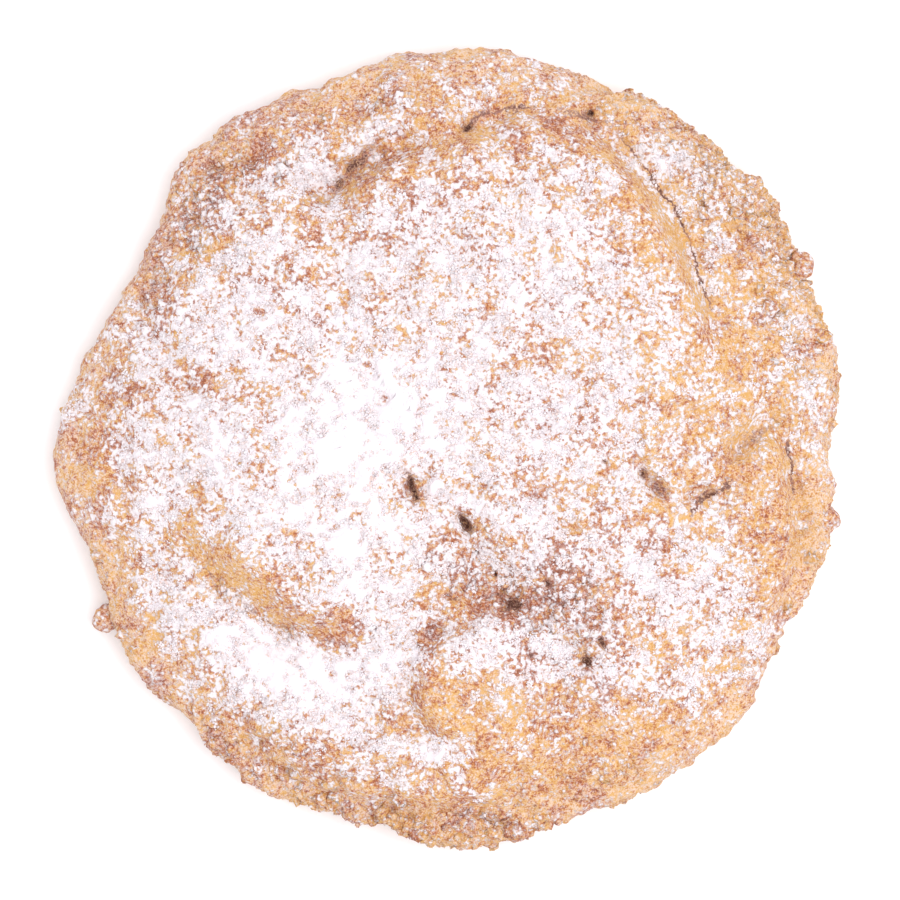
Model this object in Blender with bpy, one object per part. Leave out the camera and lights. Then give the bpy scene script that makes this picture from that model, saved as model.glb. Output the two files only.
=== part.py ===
"""Sugar cookie: a domed, cracked biscuit, baked as one piece.

Metres, +Z up. The cookie rests on its flat underside at z = 0, and its box is centred on
the origin. Seen from above, +X is to the right and +Y is up.
"""
import math

import bmesh
import bpy
import numpy as np
from mathutils import Vector

MM = 0.001

# Driving sizes of the dome and the side
CROWN_HEIGHT = 14.4 * MM        # top of the smooth dome, before folds and crags
RIM_HEIGHT = 4.4 * MM           # height at which the cookie is widest
DOME_ROUNDNESS = 2.4            # power of the radius: larger is flatter on top
DOME_SHOULDER = 0.6             # power of the fall: smaller is steeper at the rim
SIDE_TUCK = 3.4 * MM            # how far the side curls in under the rim

# Outline seen from above: angle from +X in degrees, radius in millimetres
OUTLINE = [
    (0, 38.7), (8, 39.7), (20, 39.8), (27, 40.1), (38, 41.1), (50, 40.6), (62, 39.6),
    (85, 40.1), (97, 40.0), (110, 38.3), (120, 39.1), (131, 39.4), (141, 36.5),
    (150, 35.8), (165, 37.1), (183, 40.1), (192, 37.8), (203, 37.1), (211, 38.4),
    (223, 37.6), (234, 37.8), (241, 38.6), (254, 38.2), (264, 38.9), (274, 41.0), (286, 38.3),
    (302, 40.3), (315, 40.5), (328, 38.4), (347, 39.8), (354, 38.6),
]
OUTLINE_BLUR = (-5, -2.5, 0, 2.5, 5)    # degrees over which its corners are rounded

# How far crags move the side in and out: everywhere, and more round two angles in degrees
RAGGED = 0.55 * MM
RAGGED_MORE = 0.55 * MM
RAGGED_ANGLES = (30, 258)
RAGGED_SPREAD = 38

# Folds and creases, each along a few points in millimetres. A fold's high side is on its left.
RIGHT_FOLD = [
    (29.4, 5.6), (27.4, 10.4), (26.0, 13.7), (25.1, 16.3), (23.7, 20.2), (22.1, 23.0), (20.1, 26.1),
    (18.2, 28.9), (16.2, 30.9), (13.6, 32.8), (10.0, 33.4),
]
BACK_FOLD = [
    (14.6, 32.2), (10.9, 33.1), (8.7, 33.4), (6.3, 33.2), (1.9, 31.6), (-4.6, 29.9), (-8.8, 27.4),
    (-12.1, 24.4),
]
LEFT_RIDGE = [
    (-28.0, -7.6), (-26.3, -9.8), (-24.4, -12.0), (-21.9, -13.8), (-18.2, -17.2), (-15.2, -19.2),
    (-10.9, -19.8), (-7.6, -18.8),
]
FRONT_LOBE = [(6.4, -13.7), (1.4, -16.6), (-2.2, -18.4), (-4.1, -21.0), (-4.0, -25.4), (-1.8, -29.4)]
RIGHT_FLAP = [(31.6, -21.4), (34.6, -15.0), (35.6, -10.6), (34.9, -5.1), (33.6, 1.9)]
FRONT_SKIRT = [(-21.6, -27.4), (-14.6, -33.4), (-8.6, -35.6), (-1.6, -36.4), (6.4, -36.0)]
RIDGE_TROUGH = [(-26.0, -14.6), (-18.6, -19.3), (-11.6, -22.2), (-5.2, -23.6)]
BACK_CREVICE = [(-12.5, 24.6), (-9.2, 27.3), (-5.6, 29.8)]
CENTRE_VALLEY = [(-4.0, -2.0), (-1.8, -5.6), (1.8, -8.2), (3.8, -12.4), (6.8, -15.2)]
LEFT_TROUGH = [(-30.6, 13.2), (-28.6, 8.9), (-26.6, 6.7), (-20.4, 6.5)]
LEFT_CRACK = [(-32.6, 1.2), (-31.9, -3.1), (-31.6, -6.6)]
RIGHT_CREVICE = [(28.4, 0.2), (31.0, 2.3), (33.6, 2.9)]
RIGHT_CRACK = [(18.6, -1.4), (21.4, -4.2), (25.4, -4.4), (28.2, -3.0)]
FLANK_TROUGH = [(-31.8, 14.4), (-28.0, 18.4), (-25.0, 23.4)]
ENDS_EASE = 0.16                # share of a path over which it fades at each end
LONG_ENDS_EASE = 0.3            # the same for the long folds, which fade slowly
SHARE_BLEND = 2.5 * MM          # how near to the nearest run of a path another run still counts
FOOT_WIDTH = 0.5                # width of the groove at a fold's foot, as a share of its face

# Pits and hollows: x, y, radius and depth in millimetres
PITS = [
    (-3.4, -4.0, 1.2, 1.5), (1.7, -7.2, 1.2, 1.3), (14.6, 33.4, 1.6, 1.5),
    (1.9, 31.6, 1.1, 0.8), (6.4, -15.1, 1.8, 1.4), (13.4, -21.1, 1.6, 1.2),
    (-22.4, -13.4, 1.5, 1.0), (-15.6, -18.4, 1.3, 0.9), (25.8, -4.2, 1.3, 1.0),
    (20.6, -3.8, 1.5, 0.9), (29.6, 0.2, 2.0, 1.0),
    (-23.4, 27.6, 1.6, 0.9), (-20.2, 28.4, 2.4, 1.0), (-12.6, 26.2, 2.6, 1.3),
    (-25.8, 5.4, 1.8, 0.8), (12.0, -17.2, 7.0, 1.3), (-1.2, -37.4, 1.6, 0.8),
    (5.6, -37.2, 1.7, 0.9),
]

# Swellings of the dome: x, y, radius and height in millimetres
SWELLINGS = [
    (8.0, 16.0, 15.0, 1.5), (-20.0, 2.0, 11.0, 0.8), (20.0, -14.0, 9.0, 1.0),
    (6.0, -25.5, 8.5, 1.2), (-18.0, 18.0, 9.0, 0.8),
]

# Crags, from broad to fine: wavelength and height of each size of lump
CRAGS = [(11.0 * MM, 0.55 * MM), (5.5 * MM, 0.5 * MM), (2.9 * MM, 0.5 * MM)]
SIDE_CRAGS = [(6.0 * MM, 0.5), (2.9 * MM, 0.6)]     # wavelength, and share of the raggedness
CRAG_RIM_FADE = 0.07            # share of the radius over which the relief eases at the rim
WANDER_SIZE = 7.0 * MM          # wavelength at which folds wander from their points
WANDER_REACH = 0.35 * MM        # how far they wander

# Crumbs stuck on the rim: angle in degrees, height, radius and how far proud in millimetres
CRUMBS = [(206.6, 3.0, 1.35, 0.35), (349.4, 4.6, 1.4, -0.75), (27.2, 5.2, 1.3, -0.5)]
CRUMB_ROUGHNESS = 0.13          # share of the radius by which a crumb is uneven

CELLS = 72                      # cells along each side of the square grid
TOP_SHARE = 32 / 36             # share of its rings that make the top; the rest wrap under
RING_PACKING = 0.4              # how much closer rings lie at the rim than in the middle
SMOOTH_ANGLE = math.radians(40)

CRUST_COLOUR = (0.73, 0.43, 0.21, 1.0)
CRUST_ROUGHNESS = 0.85


def chance(column, row, seed):
    """A repeatable value from 0 to 1 for each whole-number place of a square lattice."""
    mixed = (column * 73856093) ^ (row * 19349663) ^ (seed * 83492791)
    mixed = ((mixed ^ (mixed >> 13)) & 0xFFFFFFFF) * 1274126177
    return ((mixed >> 16) & 0xFFFF) / 65535.0


def lumps(x, y, size, seed):
    """Smooth lumps from -1 to 1: lattice values a wavelength apart, eased between."""
    turn = seed * 1.7
    u = (x * math.cos(turn) - y * math.sin(turn)) / size + seed * 17.3
    v = (x * math.sin(turn) + y * math.cos(turn)) / size - seed * 9.1
    column = np.floor(u).astype(np.int64)
    row = np.floor(v).astype(np.int64)
    u = ease(u - column)
    v = ease(v - row)
    near = chance(column, row, seed) * (1 - u) + chance(column + 1, row, seed) * u
    far = chance(column, row + 1, seed) * (1 - u) + chance(column + 1, row + 1, seed) * u
    return (near * (1 - v) + far * v) * 2 - 1


def ease(value):
    """0 below 0, 1 above 1, and a smooth S between."""
    value = np.clip(value, 0, 1)
    return value * value * (3 - 2 * value)


def along(path, x, y):
    """Signed distance from a path, left of it positive, and the share of it passed.

    The share is averaged over all the path's runs, each weighing less the farther it is
    beyond the nearest, so it has no jump where two runs are equally near.
    """
    points = np.array(path) * MM
    steps = np.hypot(*(points[1:] - points[:-1]).T)
    starts = np.concatenate([[0.0], np.cumsum(steps)[:-1]])
    distances = []
    shares = []
    for start, end, step, passed in zip(points[:-1], points[1:], steps, starts):
        run = (end - start) / step
        forward = np.clip((x - start[0]) * run[0] + (y - start[1]) * run[1], 0, step)
        off_x = x - start[0] - run[0] * forward
        off_y = y - start[1] - run[1] * forward
        side = np.where(run[0] * off_y - run[1] * off_x >= 0, 1, -1)
        distances.append(np.hypot(off_x, off_y) * side)
        shares.append((passed + forward) / steps.sum())
    distances = np.array(distances)
    nearest = np.abs(distances).argmin(axis=0)
    distance = np.take_along_axis(distances, nearest[None], axis=0)[0]
    weights = np.exp((np.abs(distance) - np.abs(distances)) / SHARE_BLEND)
    return distance, (weights * np.array(shares)).sum(axis=0) / weights.sum(axis=0)


def ends_fade(share, ends=ENDS_EASE):
    """1 along the middle of a path, easing to 0 at both its ends."""
    return ease(share / ends) * ease((1 - share) / ends)


def fold(x, y, path, lift, face, reach, undercut, ends=ENDS_EASE):
    """Dough raised left of a path: a face, its top easing back into the dome, and a foot."""
    distance, share = along(path, x, y)
    raised = ease(distance / face) * np.exp(-(np.maximum(distance - face, 0) / reach) ** 2)
    foot = np.exp(-(distance / (FOOT_WIDTH * face)) ** 2)
    return (lift * raised - undercut * foot) * ends_fade(share, ends)


def crease(x, y, path, depth, width):
    """A groove along a path, with a round bottom."""
    distance, share = along(path, x, y)
    return -depth * np.exp(-(distance / width) ** 2) * ends_fade(share)


def mound(x, y, centre_x, centre_y, radius, height):
    """A round bump, or a hollow where its height is negative; sizes in millimetres."""
    squared = (x - centre_x * MM) ** 2 + (y - centre_y * MM) ** 2
    return height * MM * np.exp(-2 * squared / (radius * MM) ** 2)


def relief(x, y):
    """Height of the folds, creases, pits and crags over the smooth dome."""
    here = (x + WANDER_REACH * lumps(x, y, WANDER_SIZE, 1),
            y + WANDER_REACH * lumps(x, y, WANDER_SIZE, 2))
    height = fold(*here, RIGHT_FOLD, lift=2.2 * MM, face=2.3 * MM, reach=10 * MM, undercut=0.9 * MM,
                  ends=LONG_ENDS_EASE)
    height += fold(*here, BACK_FOLD, lift=1.2 * MM, face=2.6 * MM, reach=9 * MM, undercut=0.6 * MM,
                   ends=LONG_ENDS_EASE)
    height += fold(*here, LEFT_RIDGE, lift=2.6 * MM, face=4.0 * MM, reach=8 * MM, undercut=0.7 * MM,
                   ends=LONG_ENDS_EASE)
    height += fold(*here, FRONT_LOBE, lift=1.8 * MM, face=2.4 * MM, reach=7 * MM, undercut=0.5 * MM)
    height += fold(*here, RIGHT_FLAP, lift=1.3 * MM, face=2.0 * MM, reach=5 * MM, undercut=0.7 * MM)
    height += fold(*here, FRONT_SKIRT, lift=1.2 * MM, face=2.0 * MM, reach=5 * MM, undercut=0.6 * MM)
    height += crease(*here, RIDGE_TROUGH, depth=1.3 * MM, width=3.2 * MM)
    height += crease(*here, BACK_CREVICE, depth=1.6 * MM, width=1.5 * MM)
    height += crease(*here, CENTRE_VALLEY, depth=1.0 * MM, width=2.2 * MM)
    height += crease(*here, LEFT_TROUGH, depth=0.9 * MM, width=1.7 * MM)
    height += crease(*here, LEFT_CRACK, depth=0.7 * MM, width=1.2 * MM)
    height += crease(*here, RIGHT_CREVICE, depth=1.0 * MM, width=1.3 * MM)
    height += crease(*here, RIGHT_CRACK, depth=0.8 * MM, width=1.3 * MM)
    height += crease(*here, FLANK_TROUGH, depth=0.9 * MM, width=2.0 * MM)
    for centre_x, centre_y, radius, depth in PITS:
        height += mound(*here, centre_x, centre_y, radius, -depth)
    for centre_x, centre_y, radius, rise in SWELLINGS:
        height += mound(x, y, centre_x, centre_y, radius, rise)
    for seed, (size, lump_height) in enumerate(CRAGS, start=3):
        height += lump_height * lumps(x, y, size, seed)
    return height


def outline_radius(angle):
    """Radius of the rim at each angle, its listed corners rounded, in metres."""
    listed_angles, listed_radii = zip(*OUTLINE)
    degrees = np.degrees(angle)
    turned = [np.interp(degrees + turn, listed_angles, listed_radii, period=360) for turn in OUTLINE_BLUR]
    return np.mean(turned, axis=0) * MM


def raggedness(angle, z):
    """How far crags move the side outwards at each angle and height."""
    radius = outline_radius(angle)
    x = radius * np.cos(angle) + z
    y = radius * np.sin(angle) - z
    reach = RAGGED
    for centre in RAGGED_ANGLES:
        away = (np.degrees(angle) - centre + 180) % 360 - 180
        reach = reach + RAGGED_MORE * np.exp(-(away / RAGGED_SPREAD) ** 2)
    return reach * sum(share * lumps(x, y, size, 11 + place)
                       for place, (size, share) in enumerate(SIDE_CRAGS))


def square_to_disc(u, v):
    """Carry a square of -1 to 1 onto a disc: each square ring becomes a round ring."""
    ring = np.maximum(np.abs(u), np.abs(v))
    safe = np.where(ring > 0, ring, 1)
    right_or_left = np.where(u >= 0, 0, math.pi) + np.sign(u) * v / safe * math.pi / 4
    back_or_front = np.sign(v) * (math.pi / 2 - u / safe * math.pi / 4)
    return ring, np.where(np.abs(u) >= np.abs(v), right_or_left, back_or_front)


def cookie_surface(u, v):
    """The whole skin down to the flat base, from a square: dome inside, side in its outer rings.

    The dome falls as a power of the distance out, and the side is a quarter ellipse from the
    rim down to the table.
    """
    ring, angle = square_to_disc(u, v)
    out = np.minimum(ring / TOP_SHARE, 1)
    out = out * (1 + RING_PACKING * (1 - out))
    under = np.clip((ring - TOP_SHARE) / (1 - TOP_SHARE), 0, 1) * math.pi / 2
    fall = np.maximum(1 - out ** DOME_ROUNDNESS, 0) ** DOME_SHOULDER
    z = RIM_HEIGHT + (CROWN_HEIGHT - RIM_HEIGHT) * fall - RIM_HEIGHT * np.sin(under)
    rim = outline_radius(angle) + raggedness(angle, z) * ease(4 * out - 3)
    radius = rim * out - SIDE_TUCK * (1 - np.cos(under))
    x = radius * np.cos(angle)
    y = radius * np.sin(angle)
    z += relief(x, y) * ease((1 - out) / CRAG_RIM_FADE)
    return x, y, z


def new_object(name, mesh, collection):
    """Turn a bmesh into an object of the collection."""
    data = bpy.data.meshes.new(name)
    mesh.to_mesh(data)
    mesh.free()
    made = bpy.data.objects.new(name, data)
    collection.objects.link(made)
    return made


def make_body(collection):
    """The baked dough: a square grid drawn into the skin, and closed by its flat base."""
    mesh = bmesh.new()
    bmesh.ops.create_grid(mesh, x_segments=CELLS, y_segments=CELLS, size=1.0)
    square = np.array([vertex.co[:2] for vertex in mesh.verts])
    places = np.stack(cookie_surface(square[:, 0], square[:, 1]), axis=1)
    middle = Vector((places.max(axis=0) + places.min(axis=0)) / 2 * (1, 1, 0))
    for vertex, place in zip(mesh.verts, places):
        vertex.co = Vector(place) - middle
    base_edge = [edge for edge in mesh.edges if edge.is_boundary]
    bmesh.ops.contextual_create(mesh, geom=base_edge)
    bmesh.ops.recalc_face_normals(mesh, faces=mesh.faces)
    return new_object("cookie", mesh, collection), middle


def make_crumb(number, angle, height, radius, proud, middle, collection):
    """A crumb on the rim: a small ball, pushed in and out by a few plain waves."""
    turn = np.array([math.radians(angle)])
    out = outline_radius(turn)[0] + proud * MM
    centre = Vector((out * math.cos(turn[0]), out * math.sin(turn[0]), height * MM)) - middle
    mesh = bmesh.new()
    bmesh.ops.create_icosphere(mesh, subdivisions=2, radius=radius * MM)
    for vertex in mesh.verts:
        way = vertex.co.normalized()
        wave = math.sin(5 * way.x + number) * math.cos(4 * way.y - number) + math.sin(6 * way.z + number)
        vertex.co = centre + vertex.co * (1 + CRUMB_ROUGHNESS * wave)
    return new_object("crumb_%d" % number, mesh, collection)


def fuse(body, crumbs):
    """Join the crumbs to the body as one solid, and remove them."""
    union = body.modifiers.new("crumbs", "BOOLEAN")
    union.operation = "UNION"
    union.operand_type = "COLLECTION"
    union.collection = crumbs
    union.solver = "EXACT"
    shapes = bpy.context.evaluated_depsgraph_get()
    fused = bpy.data.meshes.new_from_object(body.evaluated_get(shapes))
    body.modifiers.clear()
    body.data = fused
    for crumb in list(crumbs.objects):
        bpy.data.objects.remove(crumb)
    bpy.data.collections.remove(crumbs)


def crust_material():
    """Golden baked dough, matt."""
    material = bpy.data.materials.new("baked_crust")
    material.use_nodes = True
    shader = material.node_tree.nodes["Principled BSDF"]
    shader.inputs["Base Color"].default_value = CRUST_COLOUR
    shader.inputs["Roughness"].default_value = CRUST_ROUGHNESS
    shader.inputs["Metallic"].default_value = 0.0
    return material


def main():
    for old in list(bpy.data.objects):
        bpy.data.objects.remove(old)
    cookie = bpy.data.collections.new("sugar_cookie")
    crumbs = bpy.data.collections.new("crumbs_to_fuse")
    for collection in (cookie, crumbs):
        bpy.context.scene.collection.children.link(collection)
    body, middle = make_body(cookie)
    for number, crumb in enumerate(CRUMBS):
        make_crumb(number, *crumb, middle, crumbs)
    fuse(body, crumbs)
    body.data.materials.clear()
    body.data.materials.append(crust_material())
    body.data.shade_smooth()
    body.data.set_sharp_from_angle(angle=SMOOTH_ANGLE)


main()
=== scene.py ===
# %% [markdown]
# # A sugar cookie under icing sugar
#
# This lesson dresses one biscuit. Its solid is already made: a domed cookie, 80 mm wide,
# with folds, creases and crags, which rests on its flat underside. The solid is coarse, so
# here it gets a fine crust, drifts of icing sugar, tens of thousands of sugar crumbs and the
# colours of baked dough. Everything is in metres, and up is +Z.

# %% Load the solid and note its box
import math

import bpy
import numpy as np
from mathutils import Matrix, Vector


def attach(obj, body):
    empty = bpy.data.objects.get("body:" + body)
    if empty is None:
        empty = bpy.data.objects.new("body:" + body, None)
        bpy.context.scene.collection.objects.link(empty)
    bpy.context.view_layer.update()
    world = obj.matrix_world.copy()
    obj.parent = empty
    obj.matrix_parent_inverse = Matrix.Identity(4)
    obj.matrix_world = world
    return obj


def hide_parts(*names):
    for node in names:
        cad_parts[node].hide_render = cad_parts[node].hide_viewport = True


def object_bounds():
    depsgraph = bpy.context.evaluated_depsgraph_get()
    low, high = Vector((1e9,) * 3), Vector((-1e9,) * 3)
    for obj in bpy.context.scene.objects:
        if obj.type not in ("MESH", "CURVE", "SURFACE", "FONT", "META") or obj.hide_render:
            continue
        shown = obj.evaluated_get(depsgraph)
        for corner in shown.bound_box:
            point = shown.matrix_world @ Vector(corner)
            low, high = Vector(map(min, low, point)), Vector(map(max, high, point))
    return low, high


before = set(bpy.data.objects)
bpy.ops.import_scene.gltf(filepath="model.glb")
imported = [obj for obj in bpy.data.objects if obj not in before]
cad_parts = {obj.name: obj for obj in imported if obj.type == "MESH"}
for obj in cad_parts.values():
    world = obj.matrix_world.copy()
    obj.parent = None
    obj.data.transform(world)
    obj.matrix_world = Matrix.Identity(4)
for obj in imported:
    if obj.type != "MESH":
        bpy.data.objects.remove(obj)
MM = 0.001


def plain_box(box):
    """A box of two corners as plain lists of numbers."""
    return [[float(number) for number in corner] for corner in box]


solid_box = plain_box(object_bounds())
print("box of the solid in mm:", np.round(np.array(solid_box) / MM, 1).tolist())

# %% [markdown]
# ## Camera, floor and light
#
# The cookie is looked at from straight above. A long lens far away keeps the dome from
# looking swollen: near things grow less when the camera stands back. The floor is a plain
# sheet of white paper. The light is a bright white room and one soft lamp high on the right,
# so the left sides of the dome and its folds get only a faint shade.

# %% Camera straight above
FIELD = 90.0 * MM                # width of the picture at the height of the rim
LENS = 200.0                     # in mm, on a sensor 36 mm wide
SENSOR = 36.0
FARTHEST = 10.0                  # what lies farther off is left out
AIM = (0.4 * MM, -0.1 * MM, 4.4 * MM)

scene = bpy.context.scene
camera_data = bpy.data.cameras.new("camera")
camera_data.lens = LENS
camera_data.sensor_width = SENSOR
camera_data.clip_end = FARTHEST
camera = bpy.data.objects.new("camera", camera_data)
camera.location = (AIM[0], AIM[1], AIM[2] + FIELD * LENS / SENSOR)
scene.collection.objects.link(camera)
scene.camera = camera
print("camera stands", round(camera.location.z, 3), "m above the table")

# %% Light from the room and one lamp
ROOM_LIGHT = 1.17
ROOM_COLOUR = (0.965, 0.954, 0.980, 1)
LAMP_POWER = 1.2
LAMP_SIZE = 0.30
LAMP_PLACE = (0.14, -0.03, 0.50)

scene.view_settings.view_transform = "Standard"
room = bpy.data.worlds.new("room")
room.use_nodes = True
background = room.node_tree.nodes["Background"]
background.inputs["Color"].default_value = ROOM_COLOUR
background.inputs["Strength"].default_value = ROOM_LIGHT
scene.world = room

lamp_data = bpy.data.lights.new("lamp", "AREA")
lamp_data.energy = LAMP_POWER
lamp_data.size = LAMP_SIZE
lamp = bpy.data.objects.new("lamp", lamp_data)
lamp.location = LAMP_PLACE
lamp.rotation_euler = (-Vector(LAMP_PLACE)).to_track_quat("-Z", "Y").to_euler()
scene.collection.objects.link(lamp)
print("lamp stands", round(lamp.location.length, 2), "m off")

# %% Floor of white paper
FLOOR_SIZE = 3.0
PAPER = (0.96, 0.955, 0.96, 1)

half = FLOOR_SIZE / 2
floor_corners = [(-half, -half, 0), (half, -half, 0), (half, half, 0), (-half, half, 0)]
floor_mesh = bpy.data.meshes.new("floor")
floor_mesh.from_pydata(floor_corners, [], [(0, 1, 2, 3)])
paper = bpy.data.materials.new("white_paper")
paper.use_nodes = True
paper_shader = paper.node_tree.nodes["Principled BSDF"]
paper_shader.inputs["Base Color"].default_value = PAPER
paper_shader.inputs["Roughness"].default_value = 1.0
floor_mesh.materials.append(paper)
floor = bpy.data.objects.new("floor", floor_mesh)
scene.collection.objects.link(floor)
print("floor is", FLOOR_SIZE, "m wide")

# %% [markdown]
# ## Lumps that repeat exactly
#
# Dough, crust and sugar are all lumpy. A lump field is made from a lattice: each crossing
# gets a value that looks random but is always the same, and the values between are eased
# from one crossing to the next. Using the same field as the solid does keeps the fine crust
# on the solid's own shape.

# %% Lump fields on whole arrays
SCATTER = (73856093, 19349663, 83492791, 1274126177)   # large primes, so that near places differ
SEED_TURN = 1.7                  # each seed turns and moves its lattice, so that no two line up
SEED_SHIFT = (17.3, -9.1)


def chance(column, row, seed):
    """A repeatable value from 0 to 1 for each whole-number place of a square lattice."""
    mixed = (column * SCATTER[0]) ^ (row * SCATTER[1]) ^ (seed * SCATTER[2])
    mixed = ((mixed ^ (mixed >> 13)) & 0xFFFFFFFF) * SCATTER[3]
    return ((mixed >> 16) & 0xFFFF) / 0xFFFF


def ease(value):
    """0 below 0, 1 above 1, and a smooth S between: 3 t squared minus 2 t cubed."""
    value = np.clip(value, 0, 1)
    return value * value * (3 - 2 * value)


def lumps(x, y, size, seed):
    """Smooth lumps from -1 to 1: lattice values a wavelength apart, eased between."""
    turn = seed * SEED_TURN
    u = (x * math.cos(turn) - y * math.sin(turn)) / size + seed * SEED_SHIFT[0]
    v = (x * math.sin(turn) + y * math.cos(turn)) / size + seed * SEED_SHIFT[1]
    column = np.floor(u).astype(np.int64)
    row = np.floor(v).astype(np.int64)
    u = ease(u - column)
    v = ease(v - row)
    near = chance(column, row, seed) * (1 - u) + chance(column + 1, row, seed) * u
    far = chance(column, row + 1, seed) * (1 - u) + chance(column + 1, row + 1, seed) * u
    return (near * (1 - v) + far * v) * 2 - 1


def layered(x, y, layers, seed):
    """The sum of lump fields: one for each listed wavelength and height, with the seeds counted up."""
    return sum(height * lumps(x, y, size, seed + place) for place, (size, height) in enumerate(layers))


# %% [markdown]
# ## The form of the cookie
#
# The dough spread, domed and folded over itself as it baked. It could be sculpted by hand,
# but a form worked out from sizes can be made twice, coarse for the solid and fine here, and
# both fit. Its outline is a short list of radii round the compass. Folds run along a few
# points each: the dough left of the path stands proud, and its face drops to a small groove.
# Creases are grooves alone, pits and swellings are round. All have the solid's own sizes.

# %% Sizes of the dome and the outline
CROWN_HEIGHT = 14.4 * MM
RIM_HEIGHT = 4.4 * MM            # where the cookie is widest
DOME_ROUNDNESS = 2.4             # powers of the dome's fall: how flat its top and how full its shoulder
DOME_SHOULDER = 0.6
SIDE_TUCK = 3.4 * MM             # how far the foot stands in from the rim

OUTLINE = [              # angle in degrees, radius in mm
    (0, 38.7), (8, 39.7), (20, 39.8), (27, 40.1), (38, 41.1), (50, 40.6), (62, 39.6), (85, 40.1), (97, 40),
    (110, 38.3), (120, 39.1), (131, 39.4), (141, 36.5), (150, 35.8), (165, 37.1), (183, 40.1), (192, 37.8),
    (203, 37.1), (211, 38.4), (223, 37.6), (234, 37.8), (241, 38.6), (254, 38.2), (264, 38.9), (274, 41),
    (286, 38.3), (302, 40.3), (315, 40.5), (328, 38.4), (347, 39.8), (354, 38.6),
]
OUTLINE_BLUR = (-5, -2.5, 0, 2.5, 5)
RAGGED = 0.55 * MM               # reach of the crags on the side, and how much more at two angles
RAGGED_MORE = 0.55 * MM
RAGGED_ANGLES = (30, 258)
RAGGED_SPREAD = 38

# %% Sizes of the folds and creases
ENDS_EASE = 0.16                 # share of a path over which it fades at each end
LONG_EASE = 0.3
FOOT_WIDTH = 0.5                 # of a fold's groove, as a share of its face
SHARE_BLEND = 2.5 * MM

FOLDS = {                # lift, face, reach and undercut in mm, share that fades, path in mm
    "right fold": (2.2, 2.3, 10, 0.9, LONG_EASE, [
        (29.4, 5.6), (27.4, 10.4), (26, 13.7), (25.1, 16.3), (23.7, 20.2), (22.1, 23), (20.1, 26.1),
        (18.2, 28.9), (16.2, 30.9), (13.6, 32.8), (10, 33.4)]),
    "back fold": (1.2, 2.6, 9, 0.6, LONG_EASE, [
        (14.6, 32.2), (10.9, 33.1), (8.7, 33.4), (6.3, 33.2), (1.9, 31.6), (-4.6, 29.9), (-8.8, 27.4),
        (-12.1, 24.4)]),
    "left ridge": (2.6, 4, 8, 0.7, LONG_EASE, [
        (-28, -7.6), (-26.3, -9.8), (-24.4, -12), (-21.9, -13.8), (-18.2, -17.2), (-15.2, -19.2),
        (-10.9, -19.8), (-7.6, -18.8)]),
    "front lobe": (1.8, 2.4, 7, 0.5, ENDS_EASE, [
        (6.4, -13.7), (1.4, -16.6), (-2.2, -18.4), (-4.1, -21), (-4, -25.4), (-1.8, -29.4)]),
    "right flap": (1.3, 2, 5, 0.7, ENDS_EASE, [
        (31.6, -21.4), (34.6, -15), (35.6, -10.6), (34.9, -5.1), (33.6, 1.9)]),
    "front skirt": (1.2, 2, 5, 0.6, ENDS_EASE, [
        (-21.6, -27.4), (-14.6, -33.4), (-8.6, -35.6), (-1.6, -36.4), (6.4, -36)]),
}
CREASES = {              # depth and width in mm, path in mm
    "ridge trough": (1.3, 3.2, [(-26, -14.6), (-18.6, -19.3), (-11.6, -22.2), (-5.2, -23.6)]),
    "back crevice": (1.6, 1.5, [(-12.5, 24.6), (-9.2, 27.3), (-5.6, 29.8)]),
    "centre valley": (1, 2.2, [(-4, -2), (-1.8, -5.6), (1.8, -8.2), (3.8, -12.4), (6.8, -15.2)]),
    "left trough": (0.9, 1.7, [(-30.6, 13.2), (-28.6, 8.9), (-26.6, 6.7), (-20.4, 6.5)]),
    "left crack": (0.7, 1.2, [(-32.6, 1.2), (-31.9, -3.1), (-31.6, -6.6)]),
    "right crevice": (1, 1.3, [(28.4, 0.2), (31, 2.3), (33.6, 2.9)]),
    "right crack": (0.8, 1.3, [(18.6, -1.4), (21.4, -4.2), (25.4, -4.4), (28.2, -3)]),
    "flank trough": (0.9, 2, [(-31.8, 14.4), (-28, 18.4), (-25, 23.4)]),
}
print("folds:", ", ".join(FOLDS))
print("creases:", ", ".join(CREASES))

# %% Sizes of the pits, swellings and crags
PITS = [                 # centre, radius and depth in mm
    (-3.4, -4, 1.2, 1.5), (1.7, -7.2, 1.2, 1.3), (14.6, 33.4, 1.6, 1.5), (1.9, 31.6, 1.1, 0.8),
    (6.4, -15.1, 1.8, 1.4), (13.4, -21.1, 1.6, 1.2), (-22.4, -13.4, 1.5, 1), (-15.6, -18.4, 1.3, 0.9),
    (25.8, -4.2, 1.3, 1), (20.6, -3.8, 1.5, 0.9), (29.6, 0.2, 2, 1), (-23.4, 27.6, 1.6, 0.9),
    (-20.2, 28.4, 2.4, 1), (-12.6, 26.2, 2.6, 1.3), (-25.8, 5.4, 1.8, 0.8), (12, -17.2, 7, 1.3),
    (-1.2, -37.4, 1.6, 0.8), (5.6, -37.2, 1.7, 0.9),
]
SWELLINGS = [            # centre, radius and rise in mm
    (8, 16, 15, 1.5), (-20, 2, 11, 0.8), (20, -14, 9, 1), (6, -25.5, 8.5, 1.2), (-18, 18, 9, 0.8),
]
CRAGS = [(11 * MM, 0.55 * MM), (5.5 * MM, 0.5 * MM), (2.9 * MM, 0.5 * MM)]   # wavelength, height
SIDE_CRAGS = [(6 * MM, 0.5), (2.9 * MM, 0.6)]        # wavelength, share of the raggedness
CRAG_RIM_FADE = 0.07             # share of the radius over which the relief fades out to the rim
WANDER_SIZE = 7 * MM
WANDER_REACH = 0.35 * MM
print(len(PITS), "pits and", len(SWELLINGS), "swellings")


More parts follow.
